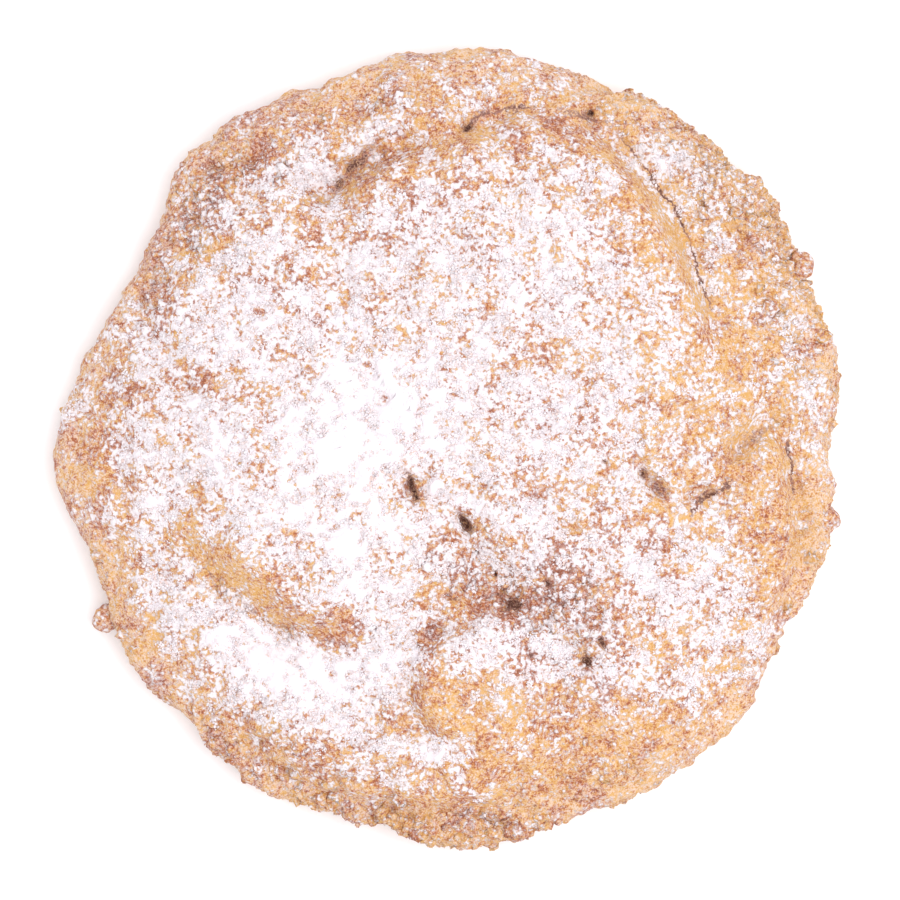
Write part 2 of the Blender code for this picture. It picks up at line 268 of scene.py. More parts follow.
# %% Paths, folds, creases and mounds
def along(path, x, y):
    """Signed distance from a path, left of it positive, and the share of it passed.

    The share is averaged over all the path's runs, each weighing less the farther it is
    beyond the nearest, so it has no jump where two runs are equally near.
    """
    points = np.array(path) * MM
    steps = np.hypot(*(points[1:] - points[:-1]).T)
    starts = np.concatenate([[0.0], np.cumsum(steps)[:-1]])
    distances = []
    shares = []
    for start, end, step, passed in zip(points[:-1], points[1:], steps, starts):
        run = (end - start) / step
        forward = np.clip((x - start[0]) * run[0] + (y - start[1]) * run[1], 0, step)
        off_x = x - start[0] - run[0] * forward
        off_y = y - start[1] - run[1] * forward
        side = np.where(run[0] * off_y - run[1] * off_x >= 0, 1, -1)
        distances.append(np.hypot(off_x, off_y) * side)
        shares.append((passed + forward) / steps.sum())
    distances = np.array(distances)
    nearest = np.abs(distances).argmin(axis=0)
    distance = np.take_along_axis(distances, nearest[None], axis=0)[0]
    weights = np.exp((np.abs(distance) - np.abs(distances)) / SHARE_BLEND)
    return distance, (weights * np.array(shares)).sum(axis=0) / weights.sum(axis=0)


def ends_fade(share, ends=ENDS_EASE):
    """1 along the middle of a path, easing to 0 at both its ends."""
    return ease(share / ends) * ease((1 - share) / ends)


def fold(x, y, path, lift, face, reach, undercut, ends):
    """Lift times an eased step over the face, times a bell that lets it sink back, less the foot."""
    distance, share = along(path, x, y)
    raised = ease(distance / face) * np.exp(-(np.maximum(distance - face, 0) / reach) ** 2)
    foot = np.exp(-(distance / (FOOT_WIDTH * face)) ** 2)
    return (lift * raised - undercut * foot) * ends_fade(share, ends)


def crease(x, y, path, depth, width):
    """A groove: minus its depth times a bell of the distance from its path."""
    distance, share = along(path, x, y)
    return -depth * np.exp(-(distance / width) ** 2) * ends_fade(share)


def mound(x, y, centre_x, centre_y, radius, height):
    """A round bump: its height times a bell of the distance; sizes in millimetres."""
    squared = (x - centre_x * MM) ** 2 + (y - centre_y * MM) ** 2
    return height * MM * np.exp(-2 * squared / (radius * MM) ** 2)


# %% Relief over the smooth dome
def wandered(x, y):
    """Places moved a little by broad lumps, so that folds meander."""
    return (x + WANDER_REACH * lumps(x, y, WANDER_SIZE, 1),
            y + WANDER_REACH * lumps(x, y, WANDER_SIZE, 2))


def relief(x, y):
    """Height of the folds, creases, pits and crags: the sum of them all."""
    here = wandered(x, y)
    height = np.zeros(x.shape)
    for lift, face, reach, undercut, ends, path in FOLDS.values():
        height += fold(*here, path, lift * MM, face * MM, reach * MM, undercut * MM, ends)
    for depth, width, path in CREASES.values():
        height += crease(*here, path, depth * MM, width * MM)
    for centre_x, centre_y, radius, depth in PITS:
        height += mound(*here, centre_x, centre_y, radius, -depth)
    for centre_x, centre_y, radius, rise in SWELLINGS:
        height += mound(x, y, centre_x, centre_y, radius, rise)
    return height + layered(x, y, CRAGS, 3)


# %% [markdown]
# ## Detail that the solid leaves out
#
# The solid's triangles are about a millimetre wide. The real crust is rougher than that: it
# has crags down to a few tenths of a millimetre, thin cracks where folds meet, small
# openings where steam broke through, and patches that crumbled into grains. A bump in the
# material would leave the edge and the low light smooth, so they are added to the same
# surface, on a grid four times finer. The dark in the cracks and openings is painted shade
# that the crust's finish adds from the same values.

# %% Sizes of the fine crags and thin cracks
FINE_CRAGS = [(1.7 * MM, 0.24 * MM), (0.95 * MM, 0.16 * MM)]
GRANULES = [(1.3 * MM, 0.20 * MM), (0.75 * MM, 0.13 * MM)]
FINE_LOWERED = 0.24 * MM         # so that fine crags and sugar stay within the solid's height
FINE_SIDE_CRAGS = [(1.7 * MM, 0.42), (0.9 * MM, 0.42), (0.5 * MM, 0.3)]
FINE_SUNK = 0.4                  # share of the raggedness taken off again, as fine crags reach farther
# The dark that the finish gives each thin crack is painted shade; the wide weak ones are soft patches of
# painted shade.
THIN_CRACKS = [          # half width in mm, strength, path in mm
    (0.2, 1.05, [(17.2, 31.2), (18.2, 30.1), (20.5, 26.7), (22.9, 22.8), (24.7, 18.9), (25.5, 15.9),
                 (26.2, 13.4)]),
    (0.36, 0.72, [(2.2, 32.1), (3.2, 32.8), (5.6, 33.3), (7.8, 33.7), (9.9, 33.7), (13, 33.1), (15.6, 32.2)]),
    (0.16, 0.4, [(-30.9, 2.4), (-31.6, 0.4)]),
    (0.22, 1, [(-32.2, -2.8), (-31.9, -3.6), (-32, -5)]),
    (0.22, 0.5, [(-31.8, -5.2), (-31.6, -7)]),
    (0.24, 0.85, [(34.1, 0.4), (34.2, -1.6), (34.6, -4.2)]),
    (0.6, 0.5, [(28.1, -0.8), (29, 0.2), (29.9, 0.9), (31.6, 2), (32.4, 2.6)]),
    (0.5, 1, [(24.6, -5.8), (25.2, -4.7), (26, -4.1), (27.8, -3.5)]),
    (0.16, 0.6, [(24.5, 5.6), (26.2, 6)]),
    (0.3, 0.4, [(22.7, -7.9), (24.4, -7.2)]),
    (0.2, 0.6, [(-23.8, -12.2), (-22.4, -13.6), (-21, -14.8)]),
    (0.22, 0.5, [(-20.6, -15), (-17.8, -17), (-15, -18.4), (-12.2, -19.2), (-9.4, -19.4), (-8, -18.6)]),
]
# The dark that the finish gives each opening is painted shade; the weak ones are mostly soft patches of
# painted shade over hollows.
OPENINGS = [             # centre, half length and half width in mm, turn in degrees, strength
    (-3.7, -3.8, 1.5, 0.2, 104, 1.2), (-3.2, -5, 0.5, 0.32, 104, 1.1), (-2.7, -4.5, 1.1, 0.6, 104, 0.3),
    (1.65, -7.5, 0.95, 0.42, -48, 1.3), (2.9, -10.6, 0.35, 0.25, 0, 1), (14.4, 33.5, 0.6, 0.35, -10, 1),
    (1.9, 31.8, 0.55, 0.35, 20, 1), (6.4, -15.4, 1, 0.55, 10, 1.2), (13.6, -21.2, 0.55, 0.85, 0, 0.95),
    (15.3, -19.3, 0.7, 0.4, -40, 1), (8.1, -20.1, 0.4, 0.3, 0, 0.8), (5, -12.4, 0.4, 0.3, 30, 1),
    (9.8, -13.4, 0.5, 0.3, -20, 1), (11.4, -15.6, 0.5, 0.3, 20, 0.7), (19.5, -2.6, 0.5, 0.28, -40, 0.9),
    (21.1, -4, 0.85, 0.5, -35, 0.5), (18.2, -1.6, 0.4, 0.25, -20, 0.5), (15.8, -1.5, 0.3, 0.25, 0, 0.7),
    (-8.7, 28, 2, 0.5, 45, 0.8), (-10.6, 26.1, 1, 0.45, 60, 0.65), (-22.4, 30.8, 1.7, 0.7, 60, 0.4),
    (-23.6, 27.8, 1.2, 0.9, 0, 0.4), (-21.6, 26.2, 0.8, 0.6, 0, 0.3), (-24.8, 23.2, 1.2, 0.8, 0, 0.35),
    (-19.6, 28.2, 1, 0.4, 20, 0.35),
]
FRAY = (1.1 * MM, 0.3 * MM)      # wavelength and reach of the jags along cracks and openings
CRACK_DEPTH = 1.2 * MM
THIN_SHADE = 0.31                # how dark a thin crack gets where it is whole
SHADE_GAPS = (1.2 * MM, 43, 0.6, 1.5)   # wavelength, seed, middle and swing of the gaps in thin cracks
LINE_GAPS = (1.6 * MM, 45, 1.1, 1.2)
NO_CRACK_NEAR = 9.0              # half widths off, as good as none
LINE_FADE = 0.45 * MM
print(len(THIN_CRACKS), "thin cracks and", len(OPENINGS), "openings")


# %% Cracks and openings as values on the crust
def oval(x, y, centre_x, centre_y, half_length, half_width, degrees):
    """1 in the middle of an oval, falling as a bell to 0 outside it; sizes in millimetres."""
    turn = math.radians(degrees)
    off_x = x / MM - centre_x
    off_y = y / MM - centre_y
    lengthwise = (off_x * math.cos(turn) + off_y * math.sin(turn)) / half_length
    across = (off_y * math.cos(turn) - off_x * math.sin(turn)) / half_width
    return np.exp(-(lengthwise ** 2 + across ** 2))


def frayed(x, y):
    """Places moved as the folds' are, and a little more by small lumps, so that edges are jagged."""
    size, reach = FRAY
    here = wandered(x, y)
    return here[0] + reach * lumps(x, y, size, 41), here[1] + reach * lumps(x, y, size, 42)


def whole(x, y, size, seed, middle, swing):
    """1 where a thin crack is whole, 0 in its gaps: an S of a middle value plus a swing times lumps."""
    return ease(middle + swing * lumps(x, y, size, seed))


def crack_shade(x, y):
    """0 on open crust, towards 1 down in a crack or an opening."""
    here = frayed(x, y)
    thin_shade = THIN_SHADE * whole(x, y, *SHADE_GAPS)
    shade = np.zeros(x.shape)
    for half_width, strength, path in THIN_CRACKS:
        distance, share = along(path, *here)
        line = np.exp(-(distance / (half_width * MM)) ** 2) * ends_fade(share)
        shade = np.maximum(shade, line * thin_shade * strength)
    for *place, strength in OPENINGS:
        shade = np.maximum(shade, strength * oval(*here, *place))
    return shade


def crack_lines(x, y):
    """Signed distance from the nearest thin crack in its half widths, and how strong it is there.

    A signed distance runs evenly through nought, so a line finer than the grid stays unbroken.
    """
    here = frayed(x, y)
    side = np.full(x.shape, NO_CRACK_NEAR)
    line = np.zeros(x.shape)
    for half_width, strength, path in THIN_CRACKS:
        distance, share = along(path, *here)
        widths_off = np.clip(distance / (half_width * MM), -NO_CRACK_NEAR, NO_CRACK_NEAR)
        nearer = np.abs(widths_off) < np.abs(side)
        side = np.where(nearer, widths_off, side)
        fade = ends_fade(share) * ease(2 - np.abs(distance) / LINE_FADE)
        line = np.where(nearer, strength * fade, line)
    return side, line * whole(x, y, *LINE_GAPS)


# %% Grains where the dough crumbled
GRAIN_SPREAD = 0.6               # squared distance, in cells, at which a grain's slope ends in the gap
GRAIN_SHIFT = (5.3, -3.7)        # each seed moves its lattice by this


def granules(x, y, size, seed):
    """Packed round grains, -1 in the gaps to 1 on top: one minus the squared distance to the nearest.

    Every lattice cell holds one grain, moved by chance, so the nearest is in this cell or beside it.
    """
    u = x / size + seed * GRAIN_SHIFT[0]
    v = y / size + seed * GRAIN_SHIFT[1]
    column = np.floor(u).astype(np.int64)
    row = np.floor(v).astype(np.int64)
    nearest = np.full(x.shape, np.inf)
    for across in (-1, 0, 1):
        for up in (-1, 0, 1):
            grain_u = column + across + chance(column + across, row + up, seed)
            grain_v = row + up + chance(column + across, row + up, seed + 1)
            nearest = np.minimum(nearest, (u - grain_u) ** 2 + (v - grain_v) ** 2)
    return 1 - 2 * np.minimum(nearest / GRAIN_SPREAD, 1)


# %% Places that are filled or crumbly
FILLED = [               # parts of the solid's pits that crumbs fill: centre, radius and rise in mm
    (-2.7, -4, 1.3, 0.9), (2.3, -7, 1.2, 0.5), (14.9, 33.2, 1.5, 0.7), (6.6, -15, 1.8, 0.9),
    (13.6, -20.9, 1.6, 0.8), (-22.4, -13.4, 1.5, 0.4), (25.8, -4.2, 1.3, 0.4), (20.6, -3.8, 1.5, 0.3),
]
CRUMBLY = [              # where the dough crumbled most: centre, half length and width, turn, how much
    (7.4, -14.4, 8.5, 5, -10, 1), (12.6, -20, 3, 5, 0, 0.7), (-21, 27, 9, 4, 35, 0.7),
    (-27.6, 18, 3, 8, -30, 0.7), (-14, -31.5, 11, 3.6, -25, 0.7), (1.6, -37.4, 8, 2, 0, 0.9),
    (14, 33.8, 5, 2.2, -25, 0.6), (27, 26, 4, 9, 45, 0.8), (34, 12, 2.4, 10, 15, 0.5),
    (-21.4, -14.4, 1.8, 1, -45, 0.9), (-15.6, -18.4, 2.4, 1, -30, 0.9), (-7.2, -18.2, 1.4, 1.2, 0, 0.8),
    (-1.8, -18.4, 1.8, 1.4, 0, 0.7), (17, -32, 5, 2.6, 25, 0.7), (-8.8, 27, 4, 1.4, 45, 0.6),
    (35.8, -7.4, 1.6, 3, 0, 0.6),
]
CRUMBLY_ALL_OVER = 0.25          # how crumbly the rest is, and how much that varies
CRUMBLY_SIZE = 5 * MM
CRUMBLY_MOST = 1.2
LEAST_GRAINS = 0.45              # share of the grains' height where nothing crumbled
OPENING_STEEPNESS = 1.5          # power that keeps the edges of openings high


def patches(x, y, listed):
    """The sum of a list of ovals, each times its amount."""
    total = np.zeros(x.shape)
    for *place, amount in listed:
        total = total + amount * oval(x, y, *place)
    return total


def crumbly(x, y):
    """How crumbly the crust is: 0 smooth, 1 all crumbs; the listed patches, and some everywhere."""
    everywhere = CRUMBLY_ALL_OVER * (1 + lumps(x, y, CRUMBLY_SIZE, 44))
    return np.clip(everywhere + patches(x, y, CRUMBLY), 0, CRUMBLY_MOST)


def fine_relief(x, y):
    """Crags under 2 mm, grains where it is crumbly, and the depth of the thin cracks and openings."""
    height = -CRACK_DEPTH * crack_shade(x, y) ** OPENING_STEEPNESS - FINE_LOWERED
    height += layered(x, y, FINE_CRAGS, 21)
    for centre_x, centre_y, radius, rise in FILLED:
        height += mound(x, y, centre_x, centre_y, radius, rise)
    loose = LEAST_GRAINS + crumbly(x, y)
    for seed, (size, grain_height) in enumerate(GRANULES, start=31):
        height += grain_height * loose * granules(x, y, size, seed)
    return height


# %% [markdown]
# ## From a square to the whole skin
#
# A square grid is the simplest mesh there is. Drawn into a disc ring by ring, it covers the
# round top with cells of nearly one size, with no crowded pole in the middle. Its outer
# rings run on over the rim, down the side as a quarter ellipse and in along the underside,
# where the last ring closes to a point.

# %% The outline and its raggedness
def outline_radius(angle):
    """Radius of the rim at each angle, in metres: the listed radii, averaged over 10 degrees."""
    listed_angles, listed_radii = zip(*OUTLINE)
    degrees = np.degrees(angle)
    turned = [np.interp(degrees + turn, listed_angles, listed_radii, period=360) for turn in OUTLINE_BLUR]
    return np.mean(turned, axis=0) * MM


def ragged_share(angle):
    """How ragged the rim is, by angle: a bell round each of two angles, their sum."""
    away = [(np.degrees(angle) - centre + 180) % 360 - 180 for centre in RAGGED_ANGLES]
    return sum(np.exp(-(gap / RAGGED_SPREAD) ** 2) for gap in away)


def raggedness(angle, z, fine):
    """How far crags move the side outwards: lumps, taller round two angles, less what is sunk."""
    radius = outline_radius(angle)
    x = radius * np.cos(angle) + z
    y = radius * np.sin(angle) - z
    reach = RAGGED + RAGGED_MORE * ragged_share(angle)
    if fine:
        return reach * (layered(x, y, SIDE_CRAGS + FINE_SIDE_CRAGS, 11) - FINE_SUNK)
    return reach * layered(x, y, SIDE_CRAGS, 11)


# %% The skin as a function of the square
def square_to_disc(u, v):
    """Each square ring becomes a round ring: its share of the side is its share of 45 degrees."""
    ring = np.maximum(np.abs(u), np.abs(v))
    safe = np.where(ring > 0, ring, 1)
    right_or_left = np.where(u >= 0, 0, math.pi) + np.sign(u) * v / safe * math.pi / 4
    back_or_front = np.sign(v) * (math.pi / 2 - u / safe * math.pi / 4)
    return ring, np.where(np.abs(u) >= np.abs(v), right_or_left, back_or_front)


def cookie_surface(u, v, top_share, side_share, packing, fine):
    """The skin: a dome that falls as a power of the distance out, then a quarter ellipse, then the base.

    Rings up to top_share are the top, the next side_share the side, and the rest the base. The
    rim's crags set in over the outer quarter of the top.
    """
    ring, angle = square_to_disc(u, v)
    out = np.minimum(ring / top_share, 1)
    out = out * (1 + packing * (1 - out))
    under = np.clip((ring - top_share) / side_share, 0, 1) * math.pi / 2
    fall = np.maximum(1 - out ** DOME_ROUNDNESS, 0) ** DOME_SHOULDER
    z = RIM_HEIGHT + (CROWN_HEIGHT - RIM_HEIGHT) * fall - RIM_HEIGHT * np.sin(under)
    rim = outline_radius(angle) + raggedness(angle, z, fine) * ease(4 * out - 3)
    radius = rim * out - SIDE_TUCK * (1 - np.cos(under))
    base_share = max(1 - top_share - side_share, 1e-9)
    radius = radius * (1 - np.clip((ring - top_share - side_share) / base_share, 0, 1))
    x = radius * np.cos(angle)
    y = radius * np.sin(angle)
    rise = relief(x, y) + (fine_relief(x, y) if fine else 0)
    z = z + rise * ease((1 - out) / CRAG_RIM_FADE)
    return np.stack([x, y, z], axis=-1)


def square_grid(cells):
    """The places of a square grid from -1 to 1, as two arrays."""
    steps = np.linspace(-1, 1, cells + 1)
    return np.meshgrid(steps, steps, indexing="ij")


# %% The skin, coarse as the solid's and fine
SOLID_CELLS = 72                 # the solid's own grid, which sets where the middle of its box is
SOLID_TOP = 32 / 36
SOLID_PACKING = 0.4
solid_skin = cookie_surface(*square_grid(SOLID_CELLS), SOLID_TOP, 1 - SOLID_TOP, SOLID_PACKING, False)
middle = (solid_skin.max(axis=(0, 1)) + solid_skin.min(axis=(0, 1))) / 2
middle[2] = 0.0

CRUST_CELLS = 306
CRUST_TOP = 0.85                 # shares of the square for the top and the side
CRUST_SIDE = 0.10
CRUST_PACKING = 0.25             # how much closer the rings stand towards the rim
grid_u, grid_v = square_grid(CRUST_CELLS)
skin = cookie_surface(grid_u, grid_v, CRUST_TOP, CRUST_SIDE, CRUST_PACKING, True)
skin_x = skin[..., 0]
skin_y = skin[..., 1]
print("middle of the box in mm:", np.round(middle / MM, 2).tolist(), "skin grid:", skin.shape)

# %% [markdown]
# ## Turning arrays into pieces
#
# A mesh takes its places and faces fastest as flat arrays. Each grid cell becomes two
# triangles; where corners were joined to one, a triangle closes up and is left out. The
# square itself is the crust's map: a picture baked through it gives most of its pixels to
# the top.

# %% Helpers that make a mesh from arrays
def corners(grid):
    """The four corners of every cell of a grid, in turn round the cell."""
    return grid[:-1, :-1], grid[1:, :-1], grid[1:, 1:], grid[:-1, 1:]


def joined(*numbers):
    """Edges or triangles from the vertex numbers of their corners, one row each."""
    return np.stack(numbers, axis=-1).reshape(-1, len(numbers))


def triangles_of_grid(rows, columns):
    """Two triangles for each cell of a grid whose vertices are numbered row by row.

    Each cell is split along the line that runs outwards from the grid's middle, so no triangle
    folds over where a square ring's corner is drawn into a round ring.
    """
    a, b, c, d = corners(np.arange(rows * columns).reshape(rows, columns))
    row, column = np.indices(a.shape)
    same_side = (row < a.shape[0] / 2) == (column < a.shape[1] / 2)
    return np.concatenate([joined(a, b, np.where(same_side, c, d)), joined(np.where(same_side, a, b), c, d)])


def open_triangles(triangles):
    """The triangles whose three corners all differ."""
    return triangles[(triangles != np.roll(triangles, 1, axis=1)).all(axis=1)]


def drop_unused(places, triangles, *others):
    """Keep only the vertices that a triangle uses, in every array."""
    used, renumbered = np.unique(triangles, return_inverse=True)
    return places[used], renumbered.reshape(-1, 3), *[other[used] for other in others]


def make_piece(name, places, triangles, corner_map, values):
    """A piece from whole arrays: places, triangles, a map for each vertex or corner, and named values."""
    mesh = bpy.data.meshes.new(name)
    mesh.vertices.add(len(places))
    mesh.vertices.foreach_set("co", places.astype(np.float32).ravel())
    mesh.loops.add(triangles.size)
    mesh.loops.foreach_set("vertex_index", triangles.astype(np.int32).ravel())
    mesh.polygons.add(len(triangles))
    mesh.polygons.foreach_set("loop_start", np.arange(0, triangles.size, 3, dtype=np.int32))
    mesh.polygons.foreach_set("use_smooth", np.ones(len(triangles), bool))
    mesh.update(calc_edges=True)
    layer = mesh.uv_layers.new(name="OFBake")
    by_corner = corner_map if corner_map.ndim == 3 else corner_map[triangles]
    layer.data.foreach_set("uv", by_corner.astype(np.float32).ravel())
    for title, numbers in values.items():
        attribute = mesh.attributes.new(title, "FLOAT", "POINT")
        attribute.data.foreach_set("value", numbers.astype(np.float32).ravel())
    piece = bpy.data.objects.new(name, mesh)
    scene.collection.objects.link(piece)
    print(f"{name}: {len(places):,} vertices, {len(triangles):,} triangles, "
          f"up to {places[:, 2].max() / MM:.2f} mm")
    return piece


def surface_normals(grid):
    """Unit normals of a grid of places: the cross product of its two runs."""
    run_u = np.gradient(grid, axis=0)
    run_v = np.gradient(grid, axis=1)
    normal = np.cross(run_u, run_v)
    return normal / np.maximum(np.linalg.norm(normal, axis=-1, keepdims=True), 1e-20)


# %% [markdown]
# ## Where the sugar lies
#
# Icing sugar was sifted from above. It drifts in hollows and on the flat middle, slides off
# steep faces, and hardly reaches the rim. One field says how much of the crust is covered at
# each place: a base that thins towards the rim, drifts that add, bare patches that take
# away, and less on steep ground. Lumps from 4 mm down to under a millimetre then break it
# into clusters. Painting it by hand would tie it to one mesh; a field gives the film, the
# blanket and the crumbs alike.

# %% Drifts and bare patches
COVER_MIDDLE = 0.68
COVER_RIM = 0.15
COVER_EDGE = 0.96                # share of the radius where the cover has sunk to the rim's
COVER_FADE = 0.22                # share of the radius over which it sinks
DRIFTS = [               # centre, half length and half width in mm, turn in degrees, how much is added
    (-6, 4, 6.5, 5.5, 15, 0.5), (-13, -3, 12, 7, -30, 0.3), (-9, -11, 6, 4, -45, 0.3),
    (-23, 1.5, 6.5, 3, -10, 0.2), (-20, -19.5, 8, 3.5, -40, 0.45), (-12, -23.5, 6.5, 3.5, -25, 0.45),
    (-7.5, -20.5, 3.5, 3, -20, 0.45), (-4.5, -17, 3, 2, 30, 0.2), (9.5, 18.5, 8, 4, -55, 0.25),
    (1.5, 11.5, 10, 4.5, -45, 0.2), (-13.5, 27.5, 2, 3, 10, 0.6), (-11.5, 24.5, 1.4, 2.5, 30, 0.4),
    (-2, -29.5, 3, 1.6, 20, 0.6), (4.5, -20.5, 5.5, 2, 0, 0.25), (18.5, -12, 5, 2.5, 60, 0.2),
    (26, -12, 4.5, 3.5, 0, 0.25), (30.5, -18, 3, 2, 60, 0.3), (-31, 9.5, 2, 5, 25, 0.2),
    (-34, 4.5, 2, 6, 5, 0.2), (-28, -5.5, 3.5, 2.5, 0, 0.2), (-32.5, -7, 1.8, 3, 0, 0.2),
    (-29.5, -15.5, 2.5, 4.5, 10, 0.3), (-24, -24, 3, 2, -15, 0.4), (-8.5, -33.5, 5, 1.6, 0, 0.2),
    (2.5, 35, 3, 1.4, 0, 0.25), (-6, 32.5, 4.5, 1.6, 25, 0.2), (11, 36, 1.2, 1, 0, 0.45),
    (22, 29, 4.5, 2, -50, 0.4), (29, 26.5, 3, 1.6, -40, 0.2), (26.5, 21, 1.6, 4, 10, 0.2),
    (33, 14, 2, 7, 15, 0.3), (37.5, 3.5, 1.6, 4.5, 0, 0.4), (-17, 15.5, 8, 4, 0, 0.1),
    (-23, 12, 9, 5.5, -30, 0.25), (17.5, 7, 7, 3.5, 80, 0.2), (4.5, 3, 3.5, 1.8, -85, 0.2),
    (20.5, 29.5, 3, 2.5, 0, 0.2), (-7.5, 15, 3.5, 1.4, -45, 0.2), (35.5, 13, 3, 1.4, 50, 0.25),
    (-29, -18, 1.8, 1.6, 0, 0.35), (-1, -4.5, 4.5, 2, -55, 0.2), (23.5, 28, 6, 3, -25, 0.15),
    (-7, -30.5, 6, 2.5, 15, 0.15), (-29, -7.5, 6, 4.5, 30, 0.1), (7, 14, 5.5, 2, -50, 0.15),
    (-30, 11.5, 5, 1.6, 25, 0.15), (-3.5, 21.5, 4.5, 2, -80, 0.15), (36.5, 4, 4, 2.5, 55, 0.15),
    (34.5, 14.5, 4.5, 2, 80, 0.1), (20, 13.5, 2.5, 1.6, -65, 0.3), (-9, 6, 18, 5, -15, 0.1),
    (22, -23, 9, 3.5, 20, 0.1), (28.5, -19, 6, 3, 50, 0.2), (7.5, -24, 3, 2, -70, 0.2),
    (-7, 3.5, 4.5, 4.5, 0, 0.85), (-16.5, -20, 5, 1.2, -30, 0.25), (-25.5, 24.5, 4.5, 3, 85, 0.15),
    (20, 28.5, 4, 3, 85, 0.15), (2, 37, 12, 2.5, 0, 0.1),
]
BARE = [                 # the same, but how much is taken away
    (29.5, 4.5, 4, 14, 5, 0.4), (22.5, 8, 18, 3.5, -75, 0.25), (36, -13, 2.5, 9, 10, 0.1),
    (16, -24, 5, 2, -20, 0.15), (24.5, 19, 7.5, 2, -65, 0.25), (9, 9, 3, 1.6, 0, 0.25),
    (12, 10, 4, 1.4, 35, 0.2), (-1.5, 15.5, 4, 2.5, 0, 0.1), (-25.5, 6.5, 4, 1.2, 15, 0.3),
    (-20, 5, 4.5, 1.6, -10, 0.25), (4.5, -14.5, 5, 2, 5, 0.6), (13, -14.5, 4, 2.5, 0, 0.35),
    (14.5, -19.5, 2, 3.5, 0, 0.25), (20, -19.5, 3.5, 1.8, 10, 0.25), (-2, -21.5, 2, 5.5, 10, 0.4),
    (1.5, -25.5, 6.5, 3, 5, 0.5), (10.5, -30, 13, 4, 10, 0.35), (-9, 22.5, 3, 2.5, 0, 0.2),
    (21, -22, 5, 2, -60, 0.15), (-4.5, 28.5, 10, 2, 20, 0.4), (8, 30.5, 6, 1.6, 5, 0.25),
    (12, 33, 8, 1.8, -10, 0.25), (-35.5, -1, 2, 4, 0, 0.15), (-23, -8, 4, 1.6, -35, 0.2),
    (-24, -11.5, 3, 1.8, -40, 0.75), (-18, -14.5, 5, 2, -40, 0.8), (-13, -17.5, 4.5, 2, -20, 0.8),
    (-28, -8.5, 2.5, 1.4, -45, 0.3), (-6.5, -27, 4.5, 2, 0, 0.3), (-13, 22.5, 7, 3, 15, 0.2),
    (-10.5, 32, 5.5, 2.5, 20, 0.2), (30, 17.5, 4.5, 2, -60, 0.3), (2, -32, 5, 2.5, 35, 0.4),
    (5.5, 27.5, 5, 3, 40, 0.25), (-2.5, -14, 4.5, 1.6, 25, 0.2), (22.5, -4.5, 6, 3, -30, 0.25),
    (16.5, 22.5, 9, 2.5, -40, 0.15), (25, -5, 4, 2, 80, 0.15), (-2, -18, 1.2, 0.8, 0, 0.5),
    (-24.5, -27.5, 2, 1.2, -50, 0.3),
]
STEEP = 0.30                     # upright share of the normal below which little stays
STEEP_EASE = 0.35                # and over which the rest settles
STEEP_KEEPS = 0.3                # share of the sugar that sticks to steep ground
COVER_LIMITS = (0.1, 1.3)
DRIFT_WANDER = (3.4 * MM, 0.9 * MM)     # wavelength and reach of the drifts' meandering edges
SWALLOWED = 0.7                  # how much less sugar shows down in a crack
COVER_LUMPS = [(4.4 * MM, 0.08), (2.3 * MM, 0.18), (1.25 * MM, 0.27), (0.72 * MM, 0.36)]
print(len(DRIFTS), "drifts and", len(BARE), "bare patches")


# %% The cover as a function of the place
def share_out(x, y):
    """How far out a place is: 0 in the middle, 1 on the rim."""
    return np.hypot(x, y) / outline_radius(np.arctan2(y, x))


def sugar_cover(x, y, upright):
    """How much sugar lies at each place: the base, drifts and bare patches, cut on steep ground."""
    cover = COVER_RIM + (COVER_MIDDLE - COVER_RIM) * ease((COVER_EDGE - share_out(x, y)) / COVER_FADE)
    size, reach = DRIFT_WANDER
    here = (x + reach * lumps(x, y, size, 51), y + reach * lumps(x, y, size, 52))
    cover = cover + patches(*here, DRIFTS) - patches(*here, BARE)
    settled = ease((upright - STEEP) / STEEP_EASE)
    return np.clip(cover, *COVER_LIMITS) * (STEEP_KEEPS + (1 - STEEP_KEEPS) * settled)


# %% Cover and cracks on the skin
NO_SUGAR = -1.0                  # cover of the underside
BASE_FADE = 0.02                 # share of the square over which the side's looks give way to the base's
normals = surface_normals(skin)
broad_skin = cookie_surface(grid_u, grid_v, CRUST_TOP, CRUST_SIDE, CRUST_PACKING, False)
upright = surface_normals(broad_skin)[..., 2]
cover = sugar_cover(skin_x, skin_y, upright)
square_ring = np.maximum(np.abs(grid_u), np.abs(grid_v))
over_base = ease((CRUST_TOP + CRUST_SIDE - square_ring) / BASE_FADE)
crack = crack_shade(skin_x, skin_y) * over_base
crack_side, crack_line = crack_lines(skin_x, skin_y)
crack_line = crack_line * over_base
cover_lumped = cover + layered(skin_x, skin_y, COVER_LUMPS, 61) - SWALLOWED * crack
cover_lumped = cover_lumped * over_base + NO_SUGAR * (1 - over_base)
print("mean cover:", round(float(cover.mean()), 3))
